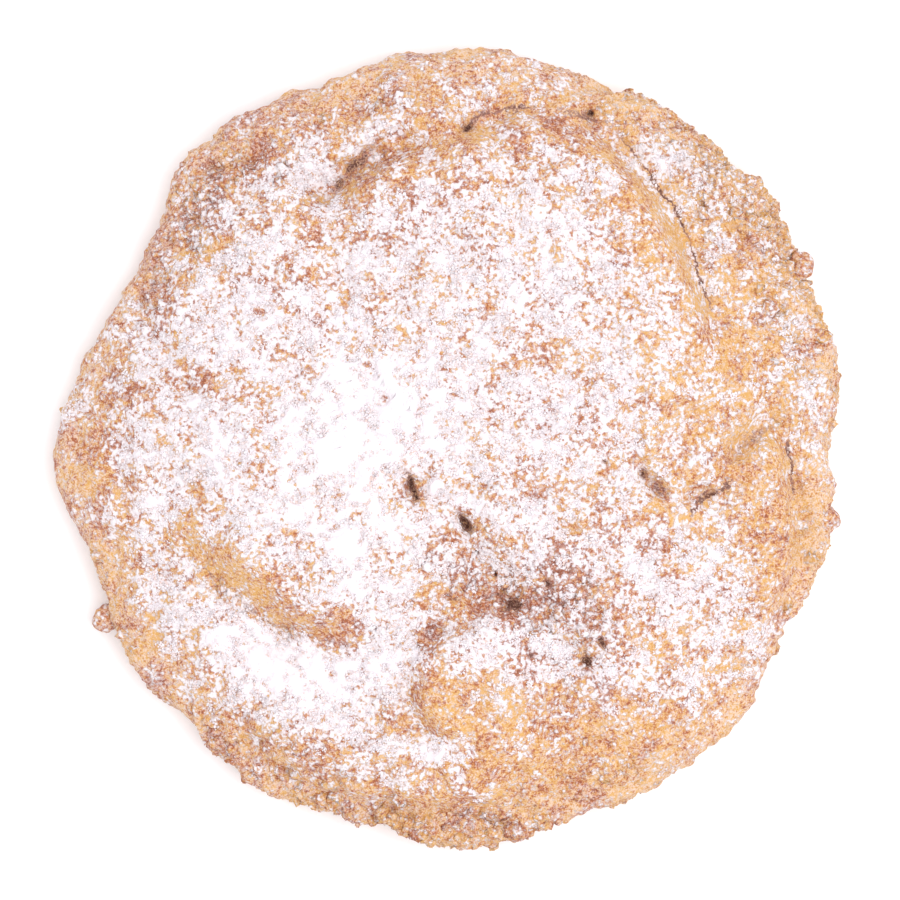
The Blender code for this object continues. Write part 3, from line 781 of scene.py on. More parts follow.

# %% [markdown]
# ## The crust
#
# The crust is the skin as one closed mesh. It carries six values for its finish: how much
# sugar lies on it, how browned it is, how deep in an opening it is, how far off and how
# strong the nearest thin crack is, and how near the rim it is. The opening and crack values
# set the painted shade in them, and the rim value sets part of the painted light on the rim.
# Values on the vertices move with the mesh, and need no picture.

# %% Browning
BROWNED = [              # centre, half length and half width in mm, turn in degrees, how much browner
    (-22, 27, 8, 5, 30, 0.32), (-16, 15, 11, 8, 0, 0.2), (-18, -32, 11, 4, -30, 0.12),
    (11, -16, 8, 5.6, 0, 0.72), (8, 12, 10, 8, 0, 0.15), (-26, 6, 4, 2, 10, 0.45),
    (-2.6, 22, 8, 5, 0, 0.18), (1.4, -37.6, 6, 1.6, 8, 0.36), (2, 37, 13, 4, 0, 0.16),
    (-1.8, -18.2, 1, 0.8, 0, 1), (-8.4, -17.8, 1.1, 0.9, 0, 0.5), (-18.5, -15.4, 6, 1.6, -42, 0.2),
    (-6, 28, 6, 3, 40, 0.35), (0, -12, 7, 4, 0, 0.25), (13.4, 2, 4.4, 4.4, 0, 0.34),
    (17, -25.5, 6, 1.4, 18, 0.35), (-28.6, 15.5, 1.8, 1.2, 0, 0.35), (-18.6, 32.6, 2.2, 0.9, -25, 0.4),
    (7.6, 9.2, 2.6, 1, -15, 0.35), (7.3, 4.1, 2.4, 2, 0, 0.35), (15.4, -5.4, 1.6, 2.4, 0, 0.35),
    (21.4, -9.4, 1.4, 1, 0, 0.3), (-0.3, -10.6, 1.4, 1.4, 0, 0.35), (8.6, -8.4, 0.9, 1.4, 0, 0.4),
    (11.6, -10.8, 1.8, 1.2, 0, 0.35), (10.1, -28.5, 1, 0.9, 0, 0.4), (8.1, -19.6, 0.9, 0.8, 0, 0.4),
]
GOLDEN = [               # the same, but how much more golden
    (30, 6, 9, 20, 0, 0.22), (-23, -11, 4, 2.4, -33, 0.15), (6, -28, 12, 6, 0, 0.13),
    (27, 27, 7, 3, -45, 0.14), (-2, -35.5, 8, 3, 0, 0.14), (22, 20, 4, 10, 25, 0.2),
    (23, 20.8, 9, 1.5, -64, 0.35),
]
BROWNED_BASE = 0.39
BROWNED_UNDER = 0.60             # the underside baked on the hot sheet
MOTTLE = [(3.4 * MM, 0.26), (1.9 * MM, 0.36), (1 * MM, 0.34)]
# Towards the rim the dough is paler and dusted: partly flour, partly painted light for the bright light on
# the steep rim.
PALER_RIM_FROM = 0.86                 # shares of the radius where flour on the rim starts, and over which it grows
PALER_RIM_EASE = 0.10
PALER_RIM = 0.1                  # how much less browned the dough looks under that flour


def rim_dust_and_light(x, y):
    """Flour on the rim, partly painted light for the steep side: eases from 0 to 1 over a tenth of the
    radius.
    """
    return ease((share_out(x, y) - PALER_RIM_FROM) / PALER_RIM_EASE)


def browning(x, y):
    """How browned the dough is, 0 golden to 1 brown: a base, patches, and mottling."""
    brown = BROWNED_BASE - PALER_RIM * rim_dust_and_light(x, y) + patches(x, y, BROWNED) - patches(x, y, GOLDEN)
    return brown + layered(x, y, MOTTLE, 71)


brown = browning(skin_x, skin_y) * over_base + BROWNED_UNDER * (1 - over_base)
near_rim = rim_dust_and_light(skin_x, skin_y) * over_base
print("mean browning:", round(float(brown.mean()), 3))


# %% Build the crust
def square_map(u, v, reach):
    """The square's own places as a map from 0 to 1, drawn in to its reach."""
    return np.stack([(u + 1) / 2, (v + 1) / 2], axis=-1).reshape(-1, 2) * reach


def close_last_ring(triangles, cells):
    """Join the outermost ring to one vertex, and drop the triangles that close up."""
    number = np.arange((cells + 1) ** 2).reshape(cells + 1, cells + 1)
    edge = np.ones(number.shape, bool)
    edge[1:-1, 1:-1] = False
    return open_triangles(np.where(edge, number[0, 0], number).ravel()[triangles])


crust_triangles = close_last_ring(triangles_of_grid(CRUST_CELLS + 1, CRUST_CELLS + 1), CRUST_CELLS)
crust_values = {"cover": cover_lumped, "brown": brown, "crack": crack, "crack_side": crack_side,
                "crack_line": crack_line, "rim": near_rim}
crust_places, crust_triangles, crust_map, *crust_numbers = drop_unused(
    (skin - middle).reshape(-1, 3), crust_triangles, square_map(grid_u, grid_v, 1.0),
    *(grid.ravel() for grid in crust_values.values()))
crust = make_piece("crust", crust_places, crust_triangles, crust_map, dict(zip(crust_values, crust_numbers)))
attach(crust, "root")
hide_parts("cookie")

# %% [markdown]
# ## Sugar drifts
#
# Where much sugar fell it lies as a soft blanket with ragged edges. The blanket is a second
# sheet over the crust: its thickness is the cover, lumped on every scale, less a threshold.
# Where that is negative the sheet dives under the crust, and that is its visible edge. A
# lower sheet and a wall close it, so it is a solid layer and not a loose skin.

# %% Thickness of the blanket
DRIFT_THRESHOLD = 1.10
DRIFT_RISE = 0.9 * MM            # thickness for each unit of lumped cover over the threshold
DRIFT_THICKEST = 0.55 * MM
DRIFT_DEEPEST = -0.20 * MM       # how far the sheet dives before it ends
DRIFT_FLOOR = -0.35 * MM         # the lower sheet, under the crust
POWDER_LUMPS = [(1.2 * MM, 0.08 * MM), (0.65 * MM, 0.07 * MM)]
POWDER_FULL = 0.2 * MM           # thickness from which the powder's lumps have their full height

thickness = (cover_lumped - DRIFT_THRESHOLD) * DRIFT_RISE
thickness = DRIFT_THICKEST * np.tanh(thickness / DRIFT_THICKEST)
thickness = thickness + layered(skin_x, skin_y, POWDER_LUMPS, 81) * ease(thickness / POWDER_FULL)
print(f"thickest sugar: {thickness.max() / MM:.2f} mm")


# %% Build the blanket
def sheet_pair(grid, normal, thickness, keep_cell, floor_depth):
    """Top sheet, lower sheet and walls over the kept cells of a grid, as places and triangles.

    A wall stands on every edge whose other direction belongs to no kept cell.
    """
    count = thickness.size
    number = np.arange(count).reshape(thickness.shape)
    a, b, c, d = [corner[keep_cell] for corner in corners(number)]
    upper = np.concatenate([joined(a, b, c), joined(a, c, d)])
    lower = upper[:, ::-1] + count
    edges = np.concatenate([joined(a, b), joined(b, c), joined(c, d), joined(d, a)])
    start, end = edges.T
    rim = ~np.isin(start * count + end, end * count + start)
    p, q = start[rim], end[rim]
    walls = np.concatenate([joined(p, p + count, q + count), joined(p, q + count, q)])
    places = np.concatenate([(grid + normal * thickness[..., None]).reshape(-1, 3),
                             (grid + normal * floor_depth).reshape(-1, 3)])
    return places, np.concatenate([upper, lower, walls])


UPPER_SHARE = 0.93               # side of the map's square for the upper sheet
LOWER_SHARE = 0.06               # and for the lower one, in the far corner
LOWER_FROM = 0.935
on_top = square_ring < CRUST_TOP
shown = (thickness > DRIFT_DEEPEST) & on_top
keep_cell = np.all(corners(shown), axis=0) & np.any(corners(thickness > 0), axis=0)
print("cells of blanket:", int(keep_cell.sum()), "of", keep_cell.size)

blanket_places, blanket_triangles = sheet_pair(
    skin - middle, normals, np.maximum(thickness, DRIFT_DEEPEST), keep_cell, DRIFT_FLOOR)
blanket_map = np.concatenate([square_map(grid_u, grid_v, UPPER_SHARE),
                              square_map(grid_u, grid_v, LOWER_SHARE) + LOWER_FROM])
blanket_places, blanket_triangles, blanket_map = drop_unused(blanket_places, blanket_triangles, blanket_map)
blanket = make_piece("sugar_drifts", blanket_places, blanket_triangles, blanket_map, {})
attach(blanket, "root")

# %% [markdown]
# ## Sugar crumbs
#
# Between the drifts the sugar lies in clusters: crumbs of powder from a tenth to half a
# millimetre, in heaps of a few to a few dozen. Particles would not leave Blender, so each
# crumb is real mesh: an eight-sided lump, stretched, turned and dented by seeded random
# numbers, all made at once as arrays. A cell of the crust is drawn with a chance of its area
# times its cover, and the heap's crumbs fall round that place in its own plane. Their map is
# the view from above, with a small copy beside it for the faces that look down.

# %% Draw places on the crust
cell_corner = skin - middle
first, second, third, fourth = corners(cell_corner)
cell_area = np.linalg.norm(np.cross(third - first, fourth - second), axis=-1) / 2
local_looks = np.stack([cover, brown], axis=-1)
print(f"surface of the cookie: {cell_area.sum() / MM ** 2:,.0f} square millimetres")


def draw_places(weight, count, rng):
    """Random places, normals and looks on the crust: cells drawn by their area times their weight.

    Within its cell, a place is blended from the four corners.
    """
    odds = (cell_area * weight).ravel()
    picked = rng.choice(odds.size, size=count, p=odds / odds.sum())
    row, column = np.divmod(picked, CRUST_CELLS)
    s, t = rng.random((2, count, 1))

    def blend(grid):
        """The four corners' values, each weighing as much as the place is near it."""
        near = grid[row, column] * (1 - s) + grid[row + 1, column] * s
        far = grid[row, column + 1] * (1 - s) + grid[row + 1, column + 1] * s
        return near * (1 - t) + far * t
    return blend(cell_corner), blend(normals), blend(local_looks)


def cell_mean(grid):
    """The mean of each cell's four corners."""
    return sum(corners(grid)) / 4


# %% Make a cloud of dented lumps
OCTAHEDRON = np.array([(1, 0, 0), (-1, 0, 0), (0, 1, 0), (0, -1, 0), (0, 0, 1), (0, 0, -1)], float)
OCTAHEDRON_FACES = np.array([(0, 2, 4), (2, 1, 4), (1, 3, 4), (3, 0, 4),
                             (2, 0, 5), (1, 2, 5), (3, 1, 5), (0, 3, 5)])
STRETCH = 0.3                    # how much longer or shorter a lump is along each of its axes
TOPS_SHARE = 0.8                 # side of the map's square for faces that look up
UNDER_SHARE = 0.18               # and for the others, in the far corner
UNDER_FROM = TOPS_SHARE + 0.01


def random_turns(count, rng):
    """Rotation matrices from random unit quaternions."""
    spin = rng.normal(size=(4, count))
    w, x, y, z = spin / np.linalg.norm(spin, axis=0)
    return np.array([
        [1 - 2 * (y * y + z * z), 2 * (x * y - z * w), 2 * (x * z + y * w)],
        [2 * (x * y + z * w), 1 - 2 * (x * x + z * z), 2 * (y * z - x * w)],
        [2 * (x * z - y * w), 2 * (y * z + x * w), 1 - 2 * (x * x + y * y)]]).transpose(2, 0, 1)


def lump_cloud(centres, radii, base, base_faces, dent, rng):
    """Every lump's vertices at once: the base shape, dented, stretched, turned, sized and placed."""
    count = len(centres)
    shape = base[None] * rng.uniform(1 - dent, 1 + dent, (count, len(base), 1))
    shape = shape * rng.uniform(1 - STRETCH, 1 + STRETCH, (count, 1, 3))
    shape = np.einsum("nij,nkj->nki", random_turns(count, rng), shape)
    places = centres[:, None] + shape * radii[:, None, None]
    faces = base_faces[None] + (np.arange(count) * len(base))[:, None, None]
    return places.reshape(-1, 3), faces.reshape(-1, 3)


def seen_from_above(places, faces):
    """A map for scattered pieces: straight down for faces that look up, a small copy for the others."""
    low, high = np.array(solid_box)
    flat = np.clip((places[:, :2] - low[:2]) / (high[:2] - low[:2]), 0, 1)[faces]
    first, second, third = places[faces].transpose(1, 0, 2)
    looks_up = np.cross(second - first, third - first)[:, 2] > 0
    return np.where(looks_up[:, None, None], flat * TOPS_SHARE, UNDER_FROM + flat * UNDER_SHARE)


# %% Sizes of the heaps, kind by kind
HIGHEST = solid_box[1][2] + 0.16 * MM    # no crumb stands higher
OPEN_CRUST = 0.35                # crumbs over a deeper shade than this have fallen in
MOST_COVER = 1.1                 # more cover than this draws no more heaps
LEAST_WEIGHT = 0.04              # and less weight than this draws none
CRACK_KEEPS_OUT = 0.9
ASIDE = (0.31, 0.95, 0.0)        # a level direction to lay each heap's plane by
HEAP_REACH = 1.6                 # a heap's radius over the usual distance of its crumbs
HEAP_SIZES = (0.4, 1.2)          # smallest and largest heap, in radii of its kind
PILE_HEIGHT = 0.08 * MM          # how far crumbs near the heap's middle lie on others
PILE_RADIUS = 0.3 * MM
SUNK = 0.1                       # share of a crumb's radius that it sinks in
SUGAR_DENT = 0.3
THIN_DRAWN = (-1.0, 0.8)         # drawn between these and eased, so over half of the crumbs are all white
KINDS = {                # name: crumbs, crumbs in a heap, radius in mm, heap radius in mm, seed
    "sugar_dust": (22000, 6, (0.06, 0.12), 0.30, 101),
    "sugar_crumbs": (22000, 10, (0.07, 0.16), 0.38, 102),
    "sugar_heaps": (22000, 24, (0.08, 0.21), 0.60, 103),
}
heap_weight = np.clip(cell_mean(cover_lumped), 0, MOST_COVER) ** 3 * (1 - CRACK_KEEPS_OUT * cell_mean(crack))
heap_weight = heap_weight * cell_mean(on_top * 1.0)
heap_weight = np.where(heap_weight > LEAST_WEIGHT, heap_weight, 0)
print("share of the crust that heaps fall on:", round(float((heap_weight > 0).mean()), 2))


# %% Draw the heaps and make their crumbs
def heaps(kind):
    """Centres and radii: places drawn by cover cubed, and crumbs fallen round each in its own plane."""
    count, in_heap, radius, heap_radius, seed = KINDS[kind]
    rng = np.random.default_rng(seed)
    origins, upward, _ = draw_places(heap_weight, count // in_heap, rng)
    owner = rng.integers(0, len(origins), count)
    upward = upward[owner]
    across = np.cross(upward, ASIDE)
    across /= np.linalg.norm(across, axis=1, keepdims=True)
    ahead = np.cross(upward, across)
    spread = rng.normal(0, heap_radius * MM / HEAP_REACH, (2, count, 1))
    spread = spread * rng.uniform(*HEAP_SIZES, len(origins))[owner][:, None]
    radii = rng.uniform(*radius, count) * MM
    nearness = np.exp(-(spread ** 2).sum(axis=0)[:, 0] / PILE_RADIUS ** 2)
    stack = np.abs(rng.normal(0, PILE_HEIGHT, count)) * nearness
    centres = origins[owner] + across * spread[0] + ahead * spread[1]
    centres = centres + upward * (stack - radii * SUNK)[:, None]
    stays = (crack_shade(*(centres + middle)[:, :2].T) < OPEN_CRUST) & (centres[:, 2] + radii < HIGHEST)
    return centres[stays], radii[stays], rng


for kind in KINDS:
    centres, radii, rng = heaps(kind)
    places, faces = lump_cloud(centres, radii, OCTAHEDRON, OCTAHEDRON_FACES, SUGAR_DENT, rng)
    thin = np.repeat(ease(rng.uniform(*THIN_DRAWN, len(centres))), len(OCTAHEDRON))
    cloud = make_piece(kind, places, faces, seen_from_above(places, faces), {"thin": thin})
    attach(cloud, "root")

# %% [markdown]
# ## Loose crumbs of dough
#
# Where the dough crumbled, at the rim and in the deep folds, it is all small round crumbs,
# half sunk. They are balls of eighty faces. Sugar lies on their tops and the gaps between
# stay brown, so every vertex gets a cover by how far it faces up.

# %% A ball of eighty faces
def ball_of_eighty():
    """An icosahedron with every edge halved and the new corners pushed out to the ball."""
    golden = (1 + 5 ** 0.5) / 2
    points = np.array([(-1, golden, 0), (1, golden, 0), (-1, -golden, 0), (1, -golden, 0),
                       (0, -1, golden), (0, 1, golden), (0, -1, -golden), (0, 1, -golden),
                       (golden, 0, -1), (golden, 0, 1), (-golden, 0, -1), (-golden, 0, 1)])
    points = points / math.hypot(1, golden)
    gap = np.linalg.norm(points[:, None] - points[None], axis=-1)
    edge = gap[gap > 0].min() * 1.01
    faces = [(a, b, c) for a in range(12) for b in range(a + 1, 12) for c in range(b + 1, 12)
             if max(gap[a, b], gap[b, c], gap[a, c]) < edge]
    first, second, third = points[np.array(faces)].transpose(1, 0, 2)
    outwards = (np.cross(second - first, third - first) * first).sum(axis=-1, keepdims=True) > 0
    faces = np.where(outwards, faces, np.array(faces)[:, [0, 2, 1]])
    middles = np.stack([points[faces[:, k]] + points[faces[:, (k + 1) % 3]] for k in range(3)], axis=1)
    middles /= np.linalg.norm(middles, axis=-1, keepdims=True)
    every = np.concatenate([points, middles.reshape(-1, 3)])
    a, b, c = faces.T
    ab, bc, ca = (12 + np.arange(len(faces) * 3).reshape(-1, 3)).T
    small = np.concatenate([joined(a, ab, ca), joined(b, bc, ab), joined(c, ca, bc), joined(ab, bc, ca)])
    _, kept, number = np.unique(np.round(every, 6), axis=0, return_index=True, return_inverse=True)
    return every[kept], number.ravel()[small]


BALL, BALL_FACES = ball_of_eighty()
print("ball:", BALL.shape, BALL_FACES.shape)

# %% Sizes and places of the crumbs of dough
CRUMB_KINDS = {          # name: count, radius in mm, share on the rim, share on patches, dents, seed
    "rim_crags": (1500, (0.16, 0.80), 1.0, 0.12, 0.38, 111),
    "crag_crumbs": (1700, (0.18, 0.44), 0.03, 1.0, 0.2, 112),
}
LOWEST_CRUMB = 1.6 * MM
RIM_BAND = 0.035                 # share of the radius over which the rim's crumbs thin out
SOUND_SHARE = 0.04               # share of crumbs where the dough is sound
EVEN_SHARE = 0.1                 # and where the rim is even
MOSTLY_SMALL = 2.2               # power of the draw that gives a radius: more makes more of them small
CRUMBS_SUNK = (0.3, 0.8)         # shares of the radius that they sink in
COVER_UP = 0.35                  # how much more sugar lies on a crumb's top than on its side
COVER_LESS = 0.12                # and how much less on the whole crumb than round it
BROWN_MORE = 0.25                # how much browner crumbs are
BROWN_UP = -0.3                  # and their tops

loose = crumbly(skin_x, skin_y) ** 3
on_rim = np.exp(-((share_out(skin_x, skin_y) - 1) / RIM_BAND) ** 2) * (skin[..., 2] > LOWEST_CRUMB)
rim_share = on_rim * (SOUND_SHARE + loose) * (EVEN_SHARE + ragged_share(np.arctan2(skin_y, skin_x)))
loose_share = loose * on_top
print("mean crumbliness:", round(float(loose.mean()), 3))


# %% Draw the crumbs of dough and make them
def dough_crumbs(name):
    """Centres, radii, looks and dents of one kind of crumb: places drawn by weight, radii by a power."""
    count, (smallest, largest), rim_weight, patch_weight, dent, seed = CRUMB_KINDS[name]
    rng = np.random.default_rng(seed)
    weight = cell_mean(rim_share * rim_weight + loose_share * patch_weight)
    centres, upward, looks = draw_places(weight, count, rng)
    radii = (smallest + (largest - smallest) * rng.random(count) ** MOSTLY_SMALL) * MM
    centres = centres - upward * (radii * rng.uniform(*CRUMBS_SUNK, count))[:, None]
    stays = crack_shade(*(centres + middle)[:, :2].T) < OPEN_CRUST
    return centres[stays], radii[stays], looks[stays], dent, rng


for name in CRUMB_KINDS:
    centres, radii, looks, dent, rng = dough_crumbs(name)
    places, faces = lump_cloud(centres, radii, BALL, BALL_FACES, dent, rng)
    facing_up = (places - np.repeat(centres, len(BALL), axis=0))[:, 2] / np.repeat(radii, len(BALL))
    cover_round, brown_round = np.repeat(looks, len(BALL), axis=0).T
    crumb_values = {"cover": cover_round + COVER_UP * facing_up - COVER_LESS,
                    "brown": brown_round + BROWN_MORE + BROWN_UP * facing_up}
    cloud = make_piece(name, places, faces, seen_from_above(places, faces), crumb_values)
    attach(cloud, "root")

# %% [markdown]
# ## Crust crumbs on the rim
#
# Three crumbs of dough stick to the rim, as in the solid. Each is a ball on a grid of
# longitude and latitude, with lumps pushed in and out.

# %% Three balls of dough
RIM_CRUMBS = [           # angle in degrees, then height, radius and how far proud of the rim in mm
    (206.6, 3.0, 1.35, 0.35), (349.4, 4.6, 1.4, -0.75), (27.2, 5.2, 1.3, -0.5),
]
CRUMB_AROUND = 48
CRUMB_UP = 28
CRUMB_LUMPS = [(0.9, 0.16), (0.4, 0.12)]    # wavelength and height, both as shares of the radius
RIM_CRUMB_COVER = 0.35
RIM_CRUMB_BROWN = 0.75


def crumb_ball(centre, radius, seed):
    """A ball: longitude and latitude give the direction, and lumps of it give the radius."""
    longitude, latitude = np.meshgrid(np.arange(CRUMB_AROUND) * 2 * math.pi / CRUMB_AROUND,
                                      np.linspace(-math.pi / 2, math.pi / 2, CRUMB_UP), indexing="ij")
    way = np.stack([np.cos(latitude) * np.cos(longitude), np.cos(latitude) * np.sin(longitude),
                    np.sin(latitude)], axis=-1)
    (broad, broad_height), (small, small_height) = CRUMB_LUMPS
    x, y, z = way.transpose(2, 0, 1)
    bumps = (broad_height * lumps(x + z * 0.6, y - z * 0.7, broad, seed)
             + small_height * lumps(x - z, y + z, small, seed + 1))
    return centre + way * (radius * (1 + bumps))[..., None]


def ball_triangles():
    """Triangles of the ball: cells between longitudes, joined round, with closed poles."""
    number = np.arange(CRUMB_AROUND * CRUMB_UP).reshape(CRUMB_AROUND, CRUMB_UP)
    number[:, 0] = number[0, 0]
    number[:, -1] = number[0, -1]
    beside = np.roll(number, -1, axis=0)
    a, b, c, d = number[:, :-1], beside[:, :-1], beside[:, 1:], number[:, 1:]
    return open_triangles(np.concatenate([joined(a, b, c), joined(a, c, d)]))


# %% Stick them to the rim
crumb_places = []
crumb_faces = []
for number, (angle, height, radius, proud) in enumerate(RIM_CRUMBS):
    turn = math.radians(angle)
    reach = outline_radius(turn) + proud * MM
    centre = np.array([reach * math.cos(turn), reach * math.sin(turn), height * MM]) - middle
    crumb_faces.append(ball_triangles() + number * CRUMB_AROUND * CRUMB_UP)
    crumb_places.append(crumb_ball(centre, radius * MM, 91 + number).reshape(-1, 3))
crumb_places, crumb_faces = drop_unused(np.concatenate(crumb_places), np.concatenate(crumb_faces))
crumb_values = {"cover": np.full(len(crumb_places), RIM_CRUMB_COVER),
                "brown": np.full(len(crumb_places), RIM_CRUMB_BROWN)}
rim_crumbs = make_piece("rim_crumbs", crumb_places, crumb_faces, seen_from_above(crumb_places, crumb_faces),
                        crumb_values)
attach(rim_crumbs, "root")

# %% [markdown]
# ## Finishes
#
# Blender's materials are graphs of nodes. Written as plain sums they are easier to read, so
# a small class wraps a socket: adding or multiplying two of them adds the Math node.

# %% A socket that can be added and multiplied
def feed(tree, slot, value):
    """Link a Value to a socket, or set the socket to a number or a colour."""
    if isinstance(value, Value):
        tree.links.new(value.socket, slot)
    else:
        slot.default_value = value


class Value:
    """A number that changes over the surface: the socket that gives it, with its arithmetic."""

    def __init__(self, tree, socket):
        self.tree = tree
        self.socket = socket

    def _math(self, operation, first, second):
        node = self.tree.nodes.new("ShaderNodeMath")
        node.operation = operation
        feed(self.tree, node.inputs[0], first)
        feed(self.tree, node.inputs[1], second)
        return Value(self.tree, node.outputs[0])

    def __add__(self, other):
        return self._math("ADD", self, other)

    def __radd__(self, other):
        return self._math("ADD", other, self)

    def __sub__(self, other):
        return self._math("SUBTRACT", self, other)

    def __rsub__(self, other):
        return self._math("SUBTRACT", other, self)

    def __mul__(self, other):
        return self._math("MULTIPLY", self, other)

    def __rmul__(self, other):
        return self._math("MULTIPLY", other, self)

    def magnitude(self):
        """Its distance from nought."""
        return self._math("ABSOLUTE", self, 0.0)

    def clamped(self):
        """Held between 0 and 1."""
        held = self._math("ADD", self, 0.0)
        held.socket.node.use_clamp = True
        return held

    def over(self, threshold, slope):
        """How far it is over a threshold, times a slope, held between 0 and 1."""
        return ((self - threshold) * slope).clamped()


# %% A finish and its nodes
NOISE_ROUGHNESS = 0.6            # share of the next finer wavelength in every noise
NOISE_MIDDLE = 0.5
NOISE_STRETCH = 6.0              # brings nearly all of a noise to between minus one and one
GRAIN_SLOPE = 1.8


class Finish:
    """A material with one Principled shader, and short ways to add nodes to it."""

    def __init__(self, name, roughness):
        self.material = bpy.data.materials.new(name)
        self.material.use_nodes = True
        self.tree = self.material.node_tree
        self.shader = self.tree.nodes["Principled BSDF"]
        self.shader.inputs["Roughness"].default_value = roughness
        self.place = self.node("ShaderNodeTexCoord", {}, {}, "Object")

    def node(self, kind, settings, sockets, output=0):
        """Any node: its settings first, then its sockets by name or number: numbers, colours or links."""
        made = self.tree.nodes.new(kind)
        for title, setting in settings.items():
            setattr(made, title, setting)
        for title, value in sockets.items():
            feed(self.tree, made.inputs[title], value)
        return Value(self.tree, made.outputs[output])

    def attribute(self, title):
        """A value stored on the mesh's vertices."""
        return self.node("ShaderNodeAttribute", {"attribute_name": title}, {}, "Fac")

    def noise(self, size, detail):
        """Cloudy noise with a wavelength in metres, about 0.5 in the middle."""
        return self.node("ShaderNodeTexNoise", {}, {"Vector": self.place, "Scale": 1 / size, "Detail": detail,
                                                    "Roughness": NOISE_ROUGHNESS})

    def speckle(self, size, detail):
        """Noise spread to about minus one to one, nought in the middle."""
        return (self.noise(size, detail) - NOISE_MIDDLE) * NOISE_STRETCH

    def grains(self, size):
        """Packed round grains: near 1 in the middle of each, falling below 0 in the gaps."""
        away = self.node("ShaderNodeTexVoronoi", {}, {"Vector": self.place, "Scale": 1 / size}, "Distance")
        return 1 - away * GRAIN_SLOPE

    def blend(self, share, first, second):
        """A colour from first to second as share goes from 0 to 1."""
        return self.node("ShaderNodeMix", {"data_type": "RGBA"}, {0: share, 6: first, 7: second}, 2)

    def connect(self, value, title):
        """Feed a value or a colour to a socket of the shader."""
        self.tree.links.new(value.socket, self.shader.inputs[title])

    def bump(self, height, distance):
        """Let a height in units of distance tilt the surface."""
        self.connect(self.node("ShaderNodeBump", {}, {"Height": height, "Distance": distance}), "Normal")

    def put_on(self, *names):
        """Give the named pieces this finish."""
        for name in names:
            bpy.data.objects[name].data.materials.append(self.material)
        print(self.material.name, "on", *names, "with", len(self.tree.nodes), "nodes")


# %% [markdown]
# ## Baked dough
#
# The crust is golden where it is pale and reddish brown where it browned, and painted shade
# browns it more in the gaps between grains and between heavy sugar. Fine dust that no
# single crumb can show lies over it as a film: noise of a few tenths of a millimetre is
# compared with the cover, so more cover lets more of the noise through as white. Between
# the grains that film is a faint veil, and on the rim it is flour, partly painted light for
# the steep side. Openings get ragged edges from the same noises, and down in them and in
# thin cracks painted shade and a painted shadow darken the dough.

# %% The dough's own colour
GOLD = (0.63, 0.348, 0.100, 1)
TOAST = (0.42, 0.13, 0.046, 1)
RUST = (0.26, 0.075, 0.032, 1)
# Dough that shows between heavy sugar is painted browner, a painted shade in those gaps.
HEAVY_FROM = 0.3                 # cover over which the dough that still shows looks browner
RUST_FROM = 0.85                 # browning over which toast turns to rust

baked = Finish("baked_crust", 0.8)
powdery = baked.speckle(0.18 * MM, 1.0)
sandy = baked.speckle(0.32 * MM, 1.0)
spotted = baked.speckle(0.7 * MM, 1.0)
patchy = baked.speckle(2.2 * MM, 2.0)
grains = baked.grains(0.46 * MM)
covered = baked.attribute("cover")
heavy = (covered - HEAVY_FROM).clamped()

# Curls are thin lines where one noise is nought, kept where another is high.
curls = (1 - baked.speckle(0.8 * MM, 1.5).magnitude() * 4).clamped()
curls = curls * (baked.speckle(1.5 * MM, 1.0) * 0.8 + 0.4).clamped()

# Each weight says how far that noise moves the browning. The gaps between grains and the dough between heavy
# sugar turn browner as painted shade.
browned = baked.attribute("brown") + powdery * 0.32 + sandy * 0.40 + spotted * 0.32 + patchy * 0.24
browned = browned - grains * 0.30 + curls * 0.4 + heavy * 0.35
dough = baked.blend(browned.clamped(), GOLD, TOAST)
dough = baked.blend(browned.over(RUST_FROM, 1.3), dough, RUST)
print("dough colour:", len(baked.tree.nodes), "nodes")

# %% The film of sugar
SUGAR_FILM = (0.79, 0.722, 0.75, 1)
THICK_FILM = (0.812, 0.777, 0.788, 1)
FILM_FROM = 0.62                 # cover at which half of the ground is white

dusting = baked.speckle(0.50 * MM, 1.0) * 0.36 + grains * 0.50 + powdery * 0.16 + sandy * 0.16
thick = covered - FILM_FROM + dusting
film = baked.blend((thick * 1.4).clamped(), SUGAR_FILM, THICK_FILM)

# The film is half there where thick is nought; the veil and the flour never hide all the dough. On the rim
# the flour is partly painted light for the steep side.
film_shows = (thick * 4.7 + 0.5).clamped() * ((thick * 1.8).clamped() * 0.20 + 0.80)
veil_shows = (thick * 1.1 + 0.54).clamped() * 0.27 + heavy * 0.07
flour_and_rim_light = (0.19 - powdery * 0.64 + grains * 0.60 + baked.attribute("rim") * 0.25).clamped() * 0.46
print("with the film:", len(baked.tree.nodes), "nodes")

# %% Openings, thin cracks and the whole crust
# The next two colours are painted shade and, darker, the painted shadow deep in openings and thin cracks.
SHADED = (0.37, 0.20, 0.175, 1)
CREVICE_SHADOW = (0.15, 0.062, 0.040, 1)
SHADED_FROM = 0.08               # depths at which the ground falls into shade, and goes dark
CREVICE_SHADOW_FROM = 0.36

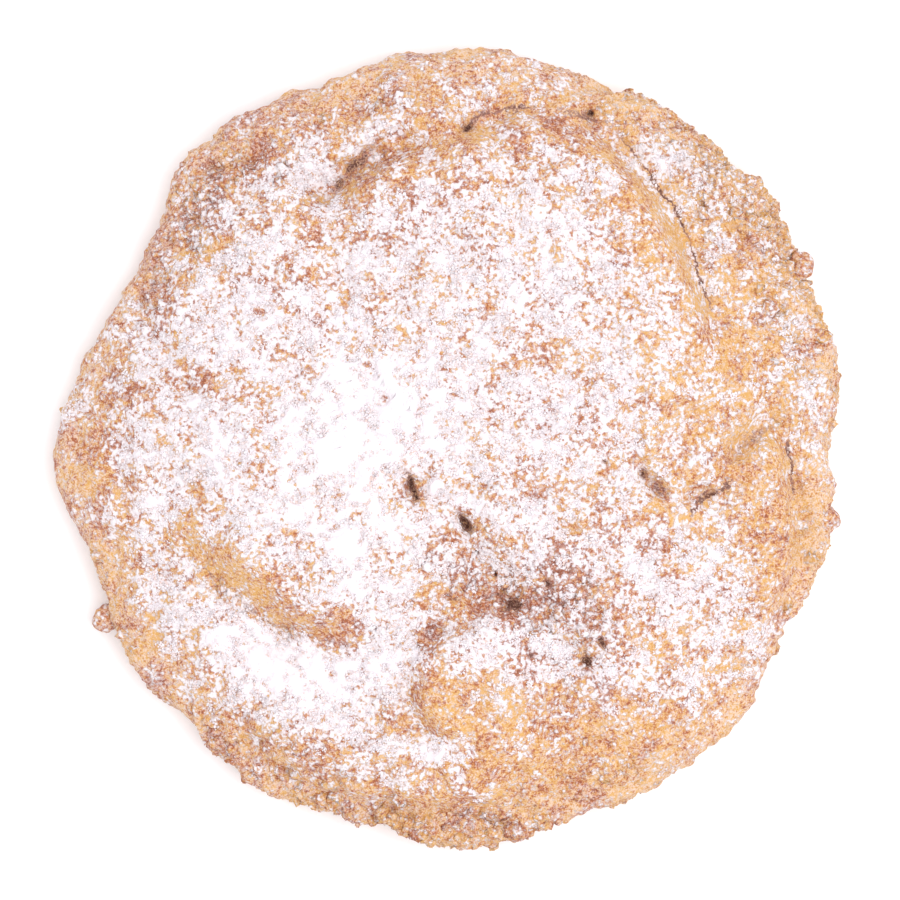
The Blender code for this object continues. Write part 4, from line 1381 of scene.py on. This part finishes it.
# Noise frays an opening by its own depth, and shifts the edge of a thin crack in half widths.
hollow = baked.attribute("crack")
hollow = hollow + hollow * (grains * 0.8 + powdery * 0.6 - 0.1)
widths_off = (baked.attribute("crack_side") + baked.speckle(0.45 * MM, 2.0) * 0.9).magnitude()
in_crack = (1.1 - widths_off).clamped() * baked.attribute("crack_line")
depth = (hollow + in_crack * 0.8).clamped()

# Layer over layer: dough, flour, veil, film, then painted shade and the painted shadow deep in the crevices.
floured_and_rim_lit = baked.blend(flour_and_rim_light, dough, SUGAR_FILM)
veiled = baked.blend(veil_shows * (1 - depth), floured_and_rim_lit, SUGAR_FILM)
sugared = baked.blend(film_shows * (1 - depth), veiled, film)
shaded = baked.blend(depth.over(SHADED_FROM, 1.8) * 0.8, sugared, SHADED)
baked.connect(baked.blend(depth.over(CREVICE_SHADOW_FROM, 1.8), shaded, CREVICE_SHADOW), "Base Color")
rough = powdery * 0.1 + sandy * 0.2 + spotted * 0.2
baked.bump(rough + film_shows * (grains * 0.6 + 0.4), 0.12 * MM)
baked.put_on("crust", "rim_crumbs", *CRUMB_KINDS)

# %% [markdown]
# ## Icing sugar
#
# Icing sugar is a bright white powder with no gloss. Light scatters among its grains, which
# a high base colour and full roughness give. A faint mottle keeps the heaps from looking
# like plaster.

# %% Sugar finish
SUGAR_WHITE = (0.865, 0.85, 0.875, 1)
SUGAR_SHADE = (0.78, 0.70, 0.73, 1)
SUGAR_THIN = (0.74, 0.56, 0.50, 1)   # so little sugar on a crumb that the dough shows through
SHADE_TO_WHITE = (0.30, 2.5)     # value of the noise where the shade begins to turn white, and how fast


def sugar_finish(name, grain_size, bump_height):
    """White powder with a faint grain."""
    finish = Finish(name, 1.0)
    grain = finish.noise(grain_size, 3.0)
    powder = finish.blend(grain.over(*SHADE_TO_WHITE), SUGAR_SHADE, SUGAR_WHITE)
    finish.connect(finish.blend(finish.attribute("thin"), powder, SUGAR_THIN), "Base Color")
    finish.bump(grain, bump_height)
    return finish


sugar_finish("drifted_sugar", 0.35 * MM, 0.09 * MM).put_on("sugar_drifts")
sugar_finish("crumbled_sugar", 0.5 * MM, 0.03 * MM).put_on(*KINDS)
